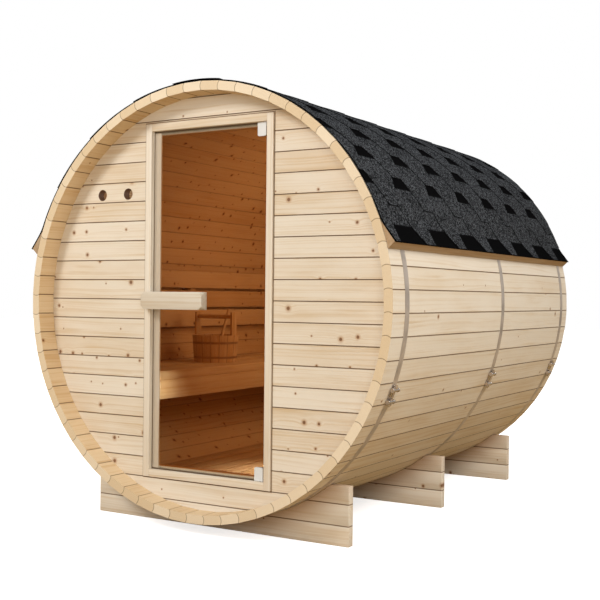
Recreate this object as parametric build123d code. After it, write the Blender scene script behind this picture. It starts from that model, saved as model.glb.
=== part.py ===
from build123d import *
from math import atan2, cos, degrees, radians, sin, sqrt, tan
import os

# Barrel sauna, in millimetres. X runs to the right seen from the door, Y runs
# from the door end to the back, Z is up. The origin is on the ground, under
# the middle of the barrel. A round shell of bead-and-cove staves is drawn
# together by steel bands and lies in three sawn cradles. A plank wall sits in
# a croze groove near each end, the front one with a framed glass door.

os.makedirs("parts", exist_ok=True)

# Barrel
BARREL_RADIUS = 950.0
BARREL_LENGTH = 2270.0
GROUND_CLEARANCE = 50.0
STAVE_COUNT = 64
STAVE_THICKNESS = 39.0
STAVE_JOINT_GAP = 0.3
STAVE_BEAD_RISE = 6.0
STAVE_EASING = 2.0
STAVE_JOINT_ANGLE = 3.75
STAVES_PER_NODE = 8

# The close fit between pieces that touch, and how far a cutter passes a face
SEAT = 0.3
OVERSHOOT = 1.0

# End walls
WALL_INSET = 97.0
WALL_THICKNESS = 38.0
CROZE_DEPTH = 10.0
BOARD_COVER = 89.3
BOARD_JOINT_DROP = 2.4
GROOVE_WIDTH = 4.0
GROOVE_DEPTH = 3.0
VENT_RADIUS = 26.0
VENT_FRAME_GAP = 108.0
VENT_SPACING = 154.0
VENT_DROP = 310.0

# Door frame
FRAME_HALF_WIDTH = 342.0
FRAME_FACE = 33.0
FRAME_HEAD_ROOM = 106.0
FRAME_FOOT_DROP = 10.0
FRAME_PROUD = 7.0
FRAME_BACK_PROUD = 2.0
FRAME_SEAT = 0.8
STOP_COVER = 21.0
STOP_GAP = 5.0

# Door glass
GLASS_THICKNESS = 8.0
GLASS_SETBACK = 16.0
GLASS_SIDE_GAP = 9.0
GLASS_TOP_GAP = 8.5
GLASS_CORNER = 5.0

# Pivot hinges
PIVOT_INSET = 8.0
PIVOT_RADIUS = 5.0
PIVOT_LENGTH = 16.0
PIVOT_CLEARANCE = 0.3
CLIP_WIDTH = 42.0
CLIP_HEIGHT = 58.0
CLIP_THICKNESS = 18.0
CLIP_OVERLAP = 5.5
CLIP_EDGE_INSET = 2.0
CLIP_CORNER = 8.0
BUSH_WALL = 2.5
BUSH_FLANGE = 6.0
HINGE_POCKET_DEPTH = 7.0
HINGE_POCKET_MARGIN = 8.0

# Handles
HANDLE_LENGTH = 337.0
HANDLE_HEIGHT = 78.0
HANDLE_DEPTH = 40.0
HANDLE_OVERHANG = 27.5
HANDLE_LEVEL = 7.0
HANDLE_STAND_OFF = 21.0
HANDLE_CUT_X = 17.0
HANDLE_CUT_Y = 28.0
HANDLE_CUT_Z = 16.0
INNER_HANDLE_LENGTH = 210.0
INNER_HANDLE_HEIGHT = 60.0
INNER_HANDLE_DEPTH = 28.0
INNER_HANDLE_SHIFT = 4.0
INNER_HANDLE_ROUND = 8.0
INNER_STAND_OFF = 14.0
HANDLE_BOLT_SPACING = 140.0
HANDLE_BOLT_RADIUS = 4.0
HANDLE_BOLT_BITE = 18.0
SPACER_RADIUS = 11.0
BOLT_HEAD_RADIUS = 7.0
BOLT_HEAD_HEIGHT = 5.0

# Cradles
CRADLE_HORN = 89.5
CRADLE_RISE = 200.0
CRADLE_THICKNESS = 38.0
CRADLE_FRONT_INSET = 176.0
CRADLE_REAR_INSET = 158.0
CRADLE_MIDDLE_SHIFT = 22.0
CRADLE_JOINTS = (85.0, 175.0)
CRADLE_GROOVE_DEPTH = 1.5

# Steel bands and their clamps
BAND_WIDTH = 38.0
BAND_THICKNESS = 0.7
BAND_CLEARANCE = 0.1
BAND_FRONT_INSET = 128.0
BAND_REAR_INSET = 106.0
BAND_MIDDLE_SHIFT = 81.0
CLAMP_ANGLE = -22.0
CLAMP_SPAN = 52.0
CLAMP_ROLL_RADIUS = 8.0
CLAMP_ROLL_HOLE = 4.3
CLAMP_BOLT_RADIUS = 4.0
CLAMP_BOLT_LENGTH = 96.0
CLAMP_NUT_WIDTH = 13.0
CLAMP_NUT_HEIGHT = 7.0
CLAMP_PAD_LENGTH = 86.0
CLAMP_PAD_THICKNESS = 1.5

# Roof
EAVES_START_ANGLE = 13.3
EAVES_STRIP_WIDTH = 111.0
EAVES_STRIP_DEPTH = 34.0
EAVES_CORNER_HEIGHT = 19.0
ROOF_THICKNESS = 9.0
ROOF_FLARE_RADIUS = 260.0
ROOF_DRIP = 4.0
ROOF_SEAT = 0.2

# Floor
FLOOR_RISE = 130.0
FLOOR_BOARD_WIDTH = 96.0
FLOOR_BOARD_THICKNESS = 21.0
FLOOR_BOARD_GAP = 10.0
FLOOR_BEARER_DEPTH = 60.0
FLOOR_BEARER_WIDTH = 45.0
FLOOR_BEARER_COUNT = 3
FLOOR_END_GAP = 4.0

# Bench and backrest, along the left side
BENCH_HEIGHT = 454.0
BENCH_FRAME_GAP = 28.0
BENCH_SLAT_WIDTH = 85.0
BENCH_SLAT_THICKNESS = 42.0
BENCH_SLAT_GAP = 8.0
FASCIA_HEIGHT = 90.0
FASCIA_THICKNESS = 26.0
BENCH_BEARER_HEIGHT = 70.0
BENCH_BEARER_WIDTH = 45.0
BACKREST_STAND_OFF = 60.0
BACKREST_THICKNESS = 20.0
BACKREST_BOARD_HEIGHT = 93.0
BACKREST_BOARD_GAP = 15.0
BACKREST_BOARD_COUNT = 3
BACKREST_RISE = 184.0
BACKREST_BATTEN_WIDTH = 50.0
BACKREST_BATTEN_COUNT = 3
BACKREST_BATTEN_INSET = 200.0

# Bucket and ladle
BUCKET_SETBACK = 230.0
BUCKET_SHIFT = -130.0
BUCKET_RADIUS = 125.0
BUCKET_BASE_RADIUS = 114.0
BUCKET_HEIGHT = 145.0
BUCKET_WALL = 11.0
BUCKET_FLOOR = 12.0
LUG_WIDTH = 44.0
LUG_HEIGHT = 268.0
BAIL_RADIUS = 11.0
BAIL_DROP = 24.0
BAIL_CLEARANCE = 0.3
LADLE_BOWL_RADIUS = 42.0
LADLE_BOWL_WALL = 4.0
LADLE_GRIP_RADIUS = 8.0
LADLE_GRIP_LENGTH = 260.0
LADLE_TILT = 24.0

# Places worked out from the sizes above, levels measured from the barrel's axis
AXIS_HEIGHT = BARREL_RADIUS + GROUND_CLEARANCE
HALF_LENGTH = BARREL_LENGTH / 2
STAVE_PITCH = 360.0 / STAVE_COUNT
HALF_STAVE = radians(STAVE_PITCH / 2)
OUTER_FLAT = BARREL_RADIUS * cos(HALF_STAVE)
INNER_FLAT = OUTER_FLAT - STAVE_THICKNESS
CLEAR_RADIUS = INNER_FLAT - SEAT
WALL_RADIUS = INNER_FLAT + CROZE_DEPTH - SEAT
WALL_FRONT = -HALF_LENGTH + WALL_INSET
WALL_BACK = WALL_FRONT + WALL_THICKNESS
REAR_WALL_FRONT = HALF_LENGTH - WALL_INSET - WALL_THICKNESS
REAR_WALL_BACK = REAR_WALL_FRONT + WALL_THICKNESS
CABIN_FRONT = WALL_BACK + SEAT
CABIN_BACK = REAR_WALL_FRONT - SEAT
FLOOR_LEVEL = FLOOR_RISE - INNER_FLAT
FRAME_TOP_LEVEL = INNER_FLAT - FRAME_HEAD_ROOM
FRAME_BOTTOM_LEVEL = FLOOR_LEVEL - FRAME_FOOT_DROP
BOARD_JOINT_LEVEL = FRAME_BOTTOM_LEVEL - BOARD_JOINT_DROP
VENT_LEVEL = FRAME_TOP_LEVEL - VENT_DROP
VENT_X = [-FRAME_HALF_WIDTH - VENT_FRAME_GAP - index * VENT_SPACING for index in range(2)]
FRAME_FRONT = WALL_FRONT - FRAME_PROUD
FRAME_BACK = WALL_BACK + FRAME_BACK_PROUD
OPENING_HALF = FRAME_HALF_WIDTH - FRAME_FACE
OPENING_TOP = FRAME_TOP_LEVEL - FRAME_FACE
OPENING_BOTTOM = FRAME_BOTTOM_LEVEL + FRAME_FACE
GLASS_FRONT = FRAME_FRONT + GLASS_SETBACK
GLASS_BACK = GLASS_FRONT + GLASS_THICKNESS
GLASS_MIDDLE = (GLASS_FRONT + GLASS_BACK) / 2
GLASS_HALF = OPENING_HALF - GLASS_SIDE_GAP
GLASS_TOP = OPENING_TOP - GLASS_TOP_GAP
GLASS_BOTTOM = OPENING_BOTTOM + GLASS_TOP_GAP
STOP_FRONT = GLASS_BACK + STOP_GAP
PIVOT_X = GLASS_HALF - PIVOT_INSET
HANDLE_LEFT = -GLASS_HALF - HANDLE_OVERHANG
INNER_HANDLE_CENTRE = HANDLE_LEFT + HANDLE_LENGTH / 2 + INNER_HANDLE_SHIFT
HANDLE_BACK = GLASS_FRONT - HANDLE_STAND_OFF
HANDLE_FRONT = HANDLE_BACK - HANDLE_DEPTH
INNER_HANDLE_FRONT = GLASS_BACK + INNER_STAND_OFF
INNER_HANDLE_BACK = INNER_HANDLE_FRONT + INNER_HANDLE_DEPTH
BENCH_LEVEL = FLOOR_LEVEL + BENCH_HEIGHT
BENCH_FRONT_X = -FRAME_HALF_WIDTH - BENCH_FRAME_GAP
BACKREST_X = BACKREST_STAND_OFF - CLEAR_RADIUS
BACKREST_BOTTOM_LEVEL = BENCH_LEVEL + BACKREST_RISE
CRADLE_TOP_LEVEL = CRADLE_RISE - BARREL_RADIUS
CRADLE_FRONTS = (
    CRADLE_FRONT_INSET - HALF_LENGTH,
    CRADLE_MIDDLE_SHIFT - CRADLE_THICKNESS / 2,
    HALF_LENGTH - CRADLE_REAR_INSET - CRADLE_THICKNESS,
)
BAND_CENTRES = (BAND_FRONT_INSET - HALF_LENGTH, BAND_MIDDLE_SHIFT, HALF_LENGTH - BAND_REAR_INSET)
BAND_RADIUS = BARREL_RADIUS + BAND_CLEARANCE
ROOF_INNER_RADIUS = BAND_RADIUS + BAND_THICKNESS + ROOF_SEAT


def polar(radius, angle):
    """A point round the barrel's axis, angle in degrees above the right side."""
    return (radius * cos(radians(angle)), radius * sin(radians(angle)))


def along_barrel(section, front, back):
    """Draw a section across the barrel out along its length."""
    plane = Plane(origin=(0, back, AXIS_HEIGHT), x_dir=(1, 0, 0), z_dir=(0, -1, 0))
    return extrude(plane * section, amount=back - front)


def block(x_range, y_range, z_range):
    """A square-edged piece between limits, with levels from the axis."""
    size = [limits[1] - limits[0] for limits in (x_range, y_range, z_range)]
    centre = [sum(limits) / 2 for limits in (x_range, y_range, z_range)]
    return Pos(centre[0], centre[1], centre[2] + AXIS_HEIGHT) * Box(*size)


def rod(start, end, radius):
    """A round bar between two points, with levels from the axis."""
    low = Vector(start[0], start[1], start[2] + AXIS_HEIGHT)
    high = Vector(end[0], end[1], end[2] + AXIS_HEIGHT)
    run = high - low
    return extrude(Plane(origin=low, z_dir=run) * Circle(radius), amount=run.length)


def half_chord(radius, level):
    """Half the width of a circle about the barrel's axis, at a level from it."""
    return sqrt(radius**2 - level**2)


def that_fit(room, width, gap):
    """How many boards of a width lie side by side in the room, with gaps between."""
    return int((room + gap) / (width + gap))


def barrel_bore(radius, front, back):
    """A cylinder on the barrel's axis, for trimming what fits the shell."""
    return along_barrel(Circle(radius), front, back)


def save(name, *solids):
    """Write one node from its solids."""
    flat = [solid for shape in solids for solid in shape.solids()]
    shape = flat[0] if len(flat) == 1 else Compound(children=flat)
    export_step(shape, f"parts/{name}.step")


def stave_edge(radius):
    """Half a stave's width at a radius, less its share of the joint's gap."""
    return radius * tan(HALF_STAVE) - STAVE_JOINT_GAP / 2 / cos(HALF_STAVE)


def stave_section():
    """Bead on one edge and cove on the other, flat faces with eased arrises."""
    middle = (OUTER_FLAT + INNER_FLAT) / 2
    high = OUTER_FLAT - STAVE_EASING
    low = INNER_FLAT + STAVE_EASING
    outer_half = stave_edge(OUTER_FLAT) - STAVE_EASING
    inner_half = stave_edge(INNER_FLAT) - STAVE_EASING
    bead = (middle, stave_edge(middle) + STAVE_BEAD_RISE)
    cove = (middle, STAVE_BEAD_RISE - stave_edge(middle))
    outline = [
        Line((OUTER_FLAT, -outer_half), (OUTER_FLAT, outer_half)),
        Line((OUTER_FLAT, outer_half), (high, stave_edge(high))),
        ThreePointArc((high, stave_edge(high)), bead, (low, stave_edge(low))),
        Line((low, stave_edge(low)), (INNER_FLAT, inner_half)),
        Line((INNER_FLAT, inner_half), (INNER_FLAT, -inner_half)),
        Line((INNER_FLAT, -inner_half), (low, -stave_edge(low))),
        ThreePointArc((low, -stave_edge(low)), cove, (high, -stave_edge(high))),
        Line((high, -stave_edge(high)), (OUTER_FLAT, -outer_half)),
    ]
    return make_face(outline)


def make_staves():
    """One stave with its two croze grooves, turned round the barrel's axis."""
    stave = along_barrel(stave_section(), -HALF_LENGTH, HALF_LENGTH)
    groove_half = BARREL_RADIUS * tan(HALF_STAVE) + STAVE_BEAD_RISE
    for wall_front in (WALL_FRONT, REAR_WALL_FRONT):
        stave -= block(
            (INNER_FLAT - CROZE_DEPTH, INNER_FLAT + CROZE_DEPTH),
            (wall_front - SEAT, wall_front + WALL_THICKNESS + SEAT),
            (-groove_half, groove_half),
        )
    axis = Axis((0, 0, AXIS_HEIGHT), (0, -1, 0))
    names = (
        "staves_bottom_right", "staves_right_lower", "staves_right_upper", "staves_top_right",
        "staves_top_left", "staves_left_upper", "staves_left_lower", "staves_bottom_left",
    )
    first = STAVE_JOINT_ANGLE + STAVE_PITCH / 2 - 2 * STAVES_PER_NODE * STAVE_PITCH
    for segment, name in enumerate(names):
        turned = []
        for index in range(STAVES_PER_NODE):
            angle = first + (segment * STAVES_PER_NODE + index) * STAVE_PITCH
            turned.append(stave.rotate(axis, angle))
        save(name, *turned)


def joint_grooves(front, back, level, depth):
    """V-grooves right across both faces of a board wall, at one joint's level."""
    z = AXIS_HEIGHT + level
    half = GROOVE_WIDTH / 2
    grooves = []
    for face, inward in ((front, 1), (back, -1)):
        outline = Polyline((face, z + half), (face + inward * depth, z), (face, z - half), close=True)
        section = make_face(Plane.YZ.offset(-BARREL_RADIUS) * outline)
        grooves.append(extrude(section, amount=2 * BARREL_RADIUS, dir=(1, 0, 0)))
    return grooves


def board_grooves(front, back):
    """The grooves at every joint of an end wall's boards."""
    joints_below = int((BOARD_JOINT_LEVEL + WALL_RADIUS) / BOARD_COVER)
    level = BOARD_JOINT_LEVEL - joints_below * BOARD_COVER
    grooves = []
    while level < WALL_RADIUS:
        grooves += joint_grooves(front, back, level, GROOVE_DEPTH)
        level += BOARD_COVER
    return grooves


def make_walls():
    """The front wall in four plates round its door frame, and the plain rear wall."""
    disc = barrel_bore(WALL_RADIUS, WALL_FRONT, WALL_BACK) - board_grooves(WALL_FRONT, WALL_BACK)
    depth = (WALL_FRONT - OVERSHOOT, WALL_BACK + OVERSHOOT)
    reach = BARREL_RADIUS
    low = FRAME_BOTTOM_LEVEL - FRAME_SEAT
    high = FRAME_TOP_LEVEL + FRAME_SEAT
    side = FRAME_HALF_WIDTH + FRAME_SEAT
    save("front_wall_top", disc & block((-reach, reach), depth, (high, reach)))
    save("front_wall_bottom", disc & block((-reach, reach), depth, (-reach, low)))
    save("front_wall_right", disc & block((side, reach), depth, (low + SEAT, high - SEAT)))
    left = disc & block((-reach, -side), depth, (low + SEAT, high - SEAT))
    for vent in VENT_X:
        left -= rod((vent, depth[0], VENT_LEVEL), (vent, depth[1], VENT_LEVEL), VENT_RADIUS)
    save("front_wall_left", left)
    rear = barrel_bore(WALL_RADIUS, REAR_WALL_FRONT, REAR_WALL_BACK)
    save("rear_wall", rear - board_grooves(REAR_WALL_FRONT, REAR_WALL_BACK))


def hinge_levels():
    """For each hinge: glass edge, direction out of the glass and frame face."""
    return {"top": (GLASS_TOP, 1, OPENING_TOP), "bottom": (GLASS_BOTTOM, -1, OPENING_BOTTOM)}


def span(a, b):
    """Two limits in rising order."""
    return (min(a, b), max(a, b))


def hinge_pocket(edge, out, frame_face):
    """Room for a hinge clip in the face of the door stop."""
    inner = edge - out * (CLIP_HEIGHT - CLIP_OVERLAP + HINGE_POCKET_MARGIN)
    left = GLASS_HALF - CLIP_EDGE_INSET - CLIP_WIDTH - HINGE_POCKET_MARGIN
    depth = (STOP_FRONT - OVERSHOOT, STOP_FRONT + HINGE_POCKET_DEPTH)
    return block((left, OPENING_HALF), depth, span(inner, frame_face))


def make_frame():
    """Rebated stiles, head and sill, with a stop that the closed glass meets."""
    pockets = [hinge_pocket(*values) for values in hinge_levels().values()]
    face_depth = (FRAME_FRONT, FRAME_BACK)
    stop_depth = (STOP_FRONT, FRAME_BACK)
    stop_half = OPENING_HALF - STOP_COVER
    height = (FRAME_BOTTOM_LEVEL, FRAME_TOP_LEVEL)
    right = block((OPENING_HALF, FRAME_HALF_WIDTH), face_depth, height)
    right += block((stop_half, OPENING_HALF), stop_depth, height)
    left = mirror(right, about=Plane.YZ)
    save("door_frame_left", left)
    save("door_frame_right", right - pockets)
    inner = OPENING_HALF - SEAT
    stop_inner = stop_half - SEAT
    rows = (
        ("door_frame_head", OPENING_TOP, FRAME_TOP_LEVEL, OPENING_TOP - STOP_COVER),
        ("door_sill", OPENING_BOTTOM, FRAME_BOTTOM_LEVEL, OPENING_BOTTOM + STOP_COVER),
    )
    for name, opening, outer, stop_edge in rows:
        rail = block((-inner, inner), (FRAME_FRONT, STOP_FRONT), span(opening, outer))
        rail += block((-stop_inner, stop_inner), stop_depth, span(stop_edge, outer))
        bush_depth = PIVOT_LENGTH + 2 * SEAT
        bush_end = opening + (bush_depth if outer > opening else -bush_depth)
        rail -= on_pivot(opening, bush_end, bush_radius() + SEAT)
        save(name, rail - pockets)


def bush_radius():
    """Outside of the sleeve that a pivot turns in."""
    return PIVOT_RADIUS + PIVOT_CLEARANCE + BUSH_WALL


def on_pivot(start_level, end_level, radius):
    """A round bar on the door's pivot axis."""
    return rod((PIVOT_X, GLASS_MIDDLE, start_level), (PIVOT_X, GLASS_MIDDLE, end_level), radius)


def make_glass():
    """One sheet of toughened glass, drilled for the handle bolts."""
    corners = RectangleRounded(2 * GLASS_HALF, GLASS_TOP - GLASS_BOTTOM, GLASS_CORNER)
    glass = along_barrel(Pos(0, (GLASS_TOP + GLASS_BOTTOM) / 2) * corners, GLASS_FRONT, GLASS_BACK)
    for x in bolt_places():
        glass -= through_door(x, GLASS_FRONT, GLASS_BACK, HANDLE_BOLT_RADIUS + SEAT)
    save("door_glass", glass)


def bolt_places():
    """The two handle bolts, set about the middle of the inside handle."""
    return [INNER_HANDLE_CENTRE + sign * HANDLE_BOLT_SPACING / 2 for sign in (-1, 1)]


def through_door(x, front, back, radius):
    """A round bar square to the glass, at the handles' level."""
    return rod((x, front, HANDLE_LEVEL), (x, back, HANDLE_LEVEL), radius)


def cut_corners(handle, x_range, y_front, z_range):
    """Slice off the front corners of a handle with slanted flat cuts."""
    for x, x_in in ((x_range[0], 1), (x_range[1], -1)):
        for z, z_in in ((z_range[0], 1), (z_range[1], -1)):
            corner = Vector(x, y_front, z + AXIS_HEIGHT)
            along = corner + Vector(x_in * HANDLE_CUT_X, 0, 0)
            deep = corner + Vector(0, HANDLE_CUT_Y, 0)
            tall = corner + Vector(0, 0, z_in * HANDLE_CUT_Z)
            normal = (deep - along).cross(tall - along)
            if normal.dot(corner - along) > 0:
                normal = normal * -1
            handle = split(handle, bisect_by=Plane(origin=along, z_dir=normal), keep=Keep.TOP)
    return handle


def make_handles():
    """A heavy bar outside, a shorter one inside, and the bolts that join them."""
    x_range = (HANDLE_LEFT, HANDLE_LEFT + HANDLE_LENGTH)
    z_range = (HANDLE_LEVEL - HANDLE_HEIGHT / 2, HANDLE_LEVEL + HANDLE_HEIGHT / 2)
    squared = block(x_range, (HANDLE_FRONT, HANDLE_BACK), z_range)
    outside = cut_corners(squared, x_range, HANDLE_FRONT, z_range)
    half = INNER_HANDLE_LENGTH / 2
    inner_x = (INNER_HANDLE_CENTRE - half, INNER_HANDLE_CENTRE + half)
    inner_z = (HANDLE_LEVEL - INNER_HANDLE_HEIGHT / 2, HANDLE_LEVEL + INNER_HANDLE_HEIGHT / 2)
    inside = block(inner_x, (INNER_HANDLE_FRONT, INNER_HANDLE_BACK), inner_z)
    long_edges = inside.edges().filter_by(Axis.X).sort_by(Axis.Y)[2:]
    inside = fillet(long_edges, INNER_HANDLE_ROUND)
    fixings = []
    hole_radius = HANDLE_BOLT_RADIUS + SEAT
    tip = HANDLE_BACK - HANDLE_BOLT_BITE
    head_top = INNER_HANDLE_BACK - SEAT
    head_seat = head_top - BOLT_HEAD_HEIGHT
    for x in bolt_places():
        outside -= through_door(x, tip - SEAT, HANDLE_BACK, hole_radius)
        inside -= through_door(x, INNER_HANDLE_FRONT, head_seat, hole_radius)
        inside -= through_door(x, head_seat - SEAT, INNER_HANDLE_BACK, BOLT_HEAD_RADIUS + SEAT)
        bolt = through_door(x, tip, head_seat, HANDLE_BOLT_RADIUS)
        bolt += through_door(x, head_seat, head_top, BOLT_HEAD_RADIUS)
        fixings.append(bolt)
        for start, end in ((HANDLE_BACK, GLASS_FRONT), (GLASS_BACK, INNER_HANDLE_FRONT)):
            sleeve = through_door(x, start + SEAT, end - SEAT, SPACER_RADIUS)
            fixings.append(sleeve - through_door(x, start, end, hole_radius))
    save("door_handle_outside", outside)
    save("door_handle_inside", inside)
    save("handle_fixings", *fixings)


def make_hinges():
    """A clip gripping each hinge corner of the glass, and the bush its pin turns in."""
    for name, (edge, out, frame_face) in hinge_levels().items():
        tip = edge + out * CLIP_OVERLAP
        root = tip - out * CLIP_HEIGHT
        right = GLASS_HALF - CLIP_EDGE_INSET
        depth = (GLASS_MIDDLE - CLIP_THICKNESS / 2, GLASS_MIDDLE + CLIP_THICKNESS / 2)
        clip = block((right - CLIP_WIDTH, right), depth, span(root, tip))
        far_edges = clip.edges().filter_by(Axis.Y).sort_by(Axis.Z)
        clip = fillet(far_edges[:2] if out > 0 else far_edges[2:], CLIP_CORNER)
        slot_width = (right - CLIP_WIDTH - OVERSHOOT, right + OVERSHOOT)
        slot_depth = (GLASS_FRONT - SEAT, GLASS_BACK + SEAT)
        clip -= block(slot_width, slot_depth, span(root - out * OVERSHOOT, edge + out * SEAT))
        pin_end = frame_face + out * PIVOT_LENGTH
        clip += on_pivot(tip - out * OVERSHOOT, pin_end, PIVOT_RADIUS)
        save(f"hinge_clip_{name}", clip)
        flange_end = tip + out * SEAT
        bush_end = pin_end + out * SEAT
        bush = on_pivot(flange_end, bush_end, bush_radius())
        bush += on_pivot(flange_end, frame_face - out * SEAT, bush_radius() + BUSH_FLANGE)
        bore_ends = (flange_end - out * OVERSHOOT, bush_end + out * OVERSHOOT)
        bush -= on_pivot(*bore_ends, PIVOT_RADIUS + PIVOT_CLEARANCE)
        save(f"hinge_bearing_{name}", bush)


def make_cradles():
    """Three glued-up plank cradles, sawn to the barrel's round."""
    half = half_chord(BARREL_RADIUS + SEAT, CRADLE_TOP_LEVEL) + CRADLE_HORN
    for name, front in zip(("front", "middle", "rear"), CRADLE_FRONTS):
        back = front + CRADLE_THICKNESS
        plank = block((-half, half), (front, back), (-AXIS_HEIGHT, CRADLE_TOP_LEVEL))
        plank -= barrel_bore(BARREL_RADIUS + SEAT, front - OVERSHOOT, back + OVERSHOOT)
        for joint in CRADLE_JOINTS:
            plank -= joint_grooves(front, back, joint - AXIS_HEIGHT, CRADLE_GROOVE_DEPTH)
        save(f"cradle_{name}", plank)


def clamp_parts(centre):
    """A bolt drawing two rolled band ends together over a backing pad."""
    band_outer = BAND_RADIUS + BAND_THICKNESS
    roll_radius = band_outer + SEAT + CLAMP_PAD_THICKNESS + SEAT + CLAMP_ROLL_RADIUS
    front = centre - BAND_WIDTH / 2
    back = centre + BAND_WIDTH / 2
    pad_inner = band_outer + SEAT
    pad_outer = pad_inner + CLAMP_PAD_THICKNESS
    pad_angle = degrees(CLAMP_PAD_LENGTH / band_outer)
    low = CLAMP_ANGLE - pad_angle / 2
    high = CLAMP_ANGLE + pad_angle / 2
    pad_section = make_face([
        CenterArc((0, 0), pad_inner, low, pad_angle),
        Line(polar(pad_inner, high), polar(pad_outer, high)),
        CenterArc((0, 0), pad_outer, low, pad_angle),
        Line(polar(pad_outer, low), polar(pad_inner, low)),
    ])
    pieces = [along_barrel(pad_section, front, back)]
    outward = Vector(cos(radians(CLAMP_ANGLE)), 0, sin(radians(CLAMP_ANGLE)))
    upward = Vector(-sin(radians(CLAMP_ANGLE)), 0, cos(radians(CLAMP_ANGLE)))
    middle = outward * roll_radius + Vector(0, centre, 0)
    bolt_low = tuple(middle - upward * (CLAMP_BOLT_LENGTH / 2))
    bolt_high = tuple(middle + upward * (CLAMP_BOLT_LENGTH / 2))
    for side in (-1, 1):
        place = middle + upward * (side * CLAMP_SPAN / 2)
        roll = rod((place.X, front, place.Z), (place.X, back, place.Z), CLAMP_ROLL_RADIUS)
        roll -= rod(bolt_low, bolt_high, CLAMP_ROLL_HOLE)
        pieces.append(roll)
    nut_place = middle + upward * (CLAMP_SPAN / 2 + CLAMP_ROLL_RADIUS + SEAT)
    bolt = rod(bolt_low, bolt_high, CLAMP_BOLT_RADIUS)
    for base, direction in ((nut_place, upward), (middle * 2 - nut_place, upward * -1)):
        origin = Vector(base.X, base.Y, base.Z + AXIS_HEIGHT)
        hexagon = RegularPolygon(CLAMP_NUT_WIDTH / 2, 6, major_radius=False)
        bolt += extrude(Plane(origin=origin, z_dir=direction) * hexagon, amount=CLAMP_NUT_HEIGHT)
    pieces.append(bolt)
    return pieces


def make_bands():
    """Flat steel bands right round the staves, each with its screw clamp."""
    ring = Circle(BAND_RADIUS + BAND_THICKNESS) - Circle(BAND_RADIUS)
    for name, centre in zip(("front", "middle", "rear"), BAND_CENTRES):
        save(f"band_{name}", along_barrel(ring, centre - BAND_WIDTH / 2, centre + BAND_WIDTH / 2))
        save(f"band_clamp_{name}", *clamp_parts(centre))


def eaves_points():
    """Foot, outer corner and thin top of the right eaves strip's section."""
    foot = polar(ROOF_INNER_RADIUS, EAVES_START_ANGLE)
    corner_angle = EAVES_START_ANGLE + degrees(EAVES_CORNER_HEIGHT / ROOF_INNER_RADIUS)
    corner = polar(ROOF_INNER_RADIUS + EAVES_STRIP_DEPTH, corner_angle)
    top_angle = EAVES_START_ANGLE + degrees(EAVES_STRIP_WIDTH / ROOF_INNER_RADIUS)
    return foot, corner, top_angle


def make_eaves_strips():
    """Three-cornered timber strips that kick the roofing out at both eaves."""
    foot, corner, top_angle = eaves_points()
    top = polar(ROOF_INNER_RADIUS, top_angle)
    middle = polar(ROOF_INNER_RADIUS, (top_angle + EAVES_START_ANGLE) / 2)
    section = make_face([ThreePointArc(foot, middle, top), Line(top, corner), Line(corner, foot)])
    right = along_barrel(section, -HALF_LENGTH, HALF_LENGTH)
    save("eaves_strip_right", right)
    save("eaves_strip_left", mirror(right, about=Plane.YZ))


def arc_about(centre, radius, start_way, end_way):
    """A short arc round a centre between two unit directions."""
    middle_way = (start_way + end_way).normalized()
    return ThreePointArc(*(centre + way * radius for way in (start_way, middle_way, end_way)))


def make_roof():
    """Bitumen roofing from eaves to eaves, kicked out over the eaves strips."""
    _, corner, top_angle = eaves_points()
    top = polar(ROOF_INNER_RADIUS, top_angle)
    slope = Vector(corner[0] - top[0], corner[1] - top[1]).normalized()
    outward = Vector(-slope.Y, slope.X)
    eave = Vector(*corner) + slope * ROOF_DRIP + outward * SEAT
    crown_radius = ROOF_INNER_RADIUS + SEAT
    above = eave + outward * ROOF_FLARE_RADIUS
    reach = above.dot(slope)
    run = reach - sqrt(reach**2 - above.dot(above) + (crown_radius + ROOF_FLARE_RADIUS) ** 2)
    flare_centre = above - slope * run
    flare_angle = degrees(atan2(flare_centre.Y, flare_centre.X))
    crown_angle = 180 - 2 * flare_angle
    inward = flare_centre.normalized() * -1
    crowns = []
    sides = []
    for lift in (0, ROOF_THICKNESS):
        crowns.append(CenterArc((0, 0), crown_radius + lift, flare_angle, crown_angle))
        flare_radius = ROOF_FLARE_RADIUS - lift
        flare_end = flare_centre - outward * flare_radius
        sides.append(arc_about(flare_centre, flare_radius, inward, outward * -1))
        sides.append(Line(flare_end, eave + outward * lift))
    sides.append(Line(eave, eave + outward * ROOF_THICKNESS))
    other_sides = [mirror(edge, about=Plane.YZ) for edge in sides]
    section = make_face([*crowns, *sides, *other_sides])
    save("roof_shingles", along_barrel(section, -HALF_LENGTH, HALF_LENGTH))


def make_floor():
    """Duckboards on three bearers shaped to the round of the shell."""
    underside = FLOOR_LEVEL - FLOOR_BOARD_THICKNESS
    room = 2 * half_chord(CLEAR_RADIUS, underside)
    count = that_fit(room, FLOOR_BOARD_WIDTH, FLOOR_BOARD_GAP)
    pitch = FLOOR_BOARD_WIDTH + FLOOR_BOARD_GAP
    start = -(count * pitch - FLOOR_BOARD_GAP) / 2
    ends = (CABIN_FRONT + FLOOR_END_GAP, CABIN_BACK - FLOOR_END_GAP)
    boards = []
    for index in range(count):
        left = start + index * pitch
        boards.append(block((left, left + FLOOR_BOARD_WIDTH), ends, (underside, FLOOR_LEVEL)))
    save("floor_boards", *boards)
    top = underside - SEAT
    step = (ends[1] - ends[0] - FLOOR_BEARER_WIDTH) / (FLOOR_BEARER_COUNT - 1)
    bearers = []
    for index in range(FLOOR_BEARER_COUNT):
        front = ends[0] + index * step
        back = front + FLOOR_BEARER_WIDTH
        whole = block((-BARREL_RADIUS, BARREL_RADIUS), (front, back), (top - FLOOR_BEARER_DEPTH, top))
        bearers.append(whole & barrel_bore(CLEAR_RADIUS, front - OVERSHOOT, back + OVERSHOOT))
    save("floor_bearers", *bearers)


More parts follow.
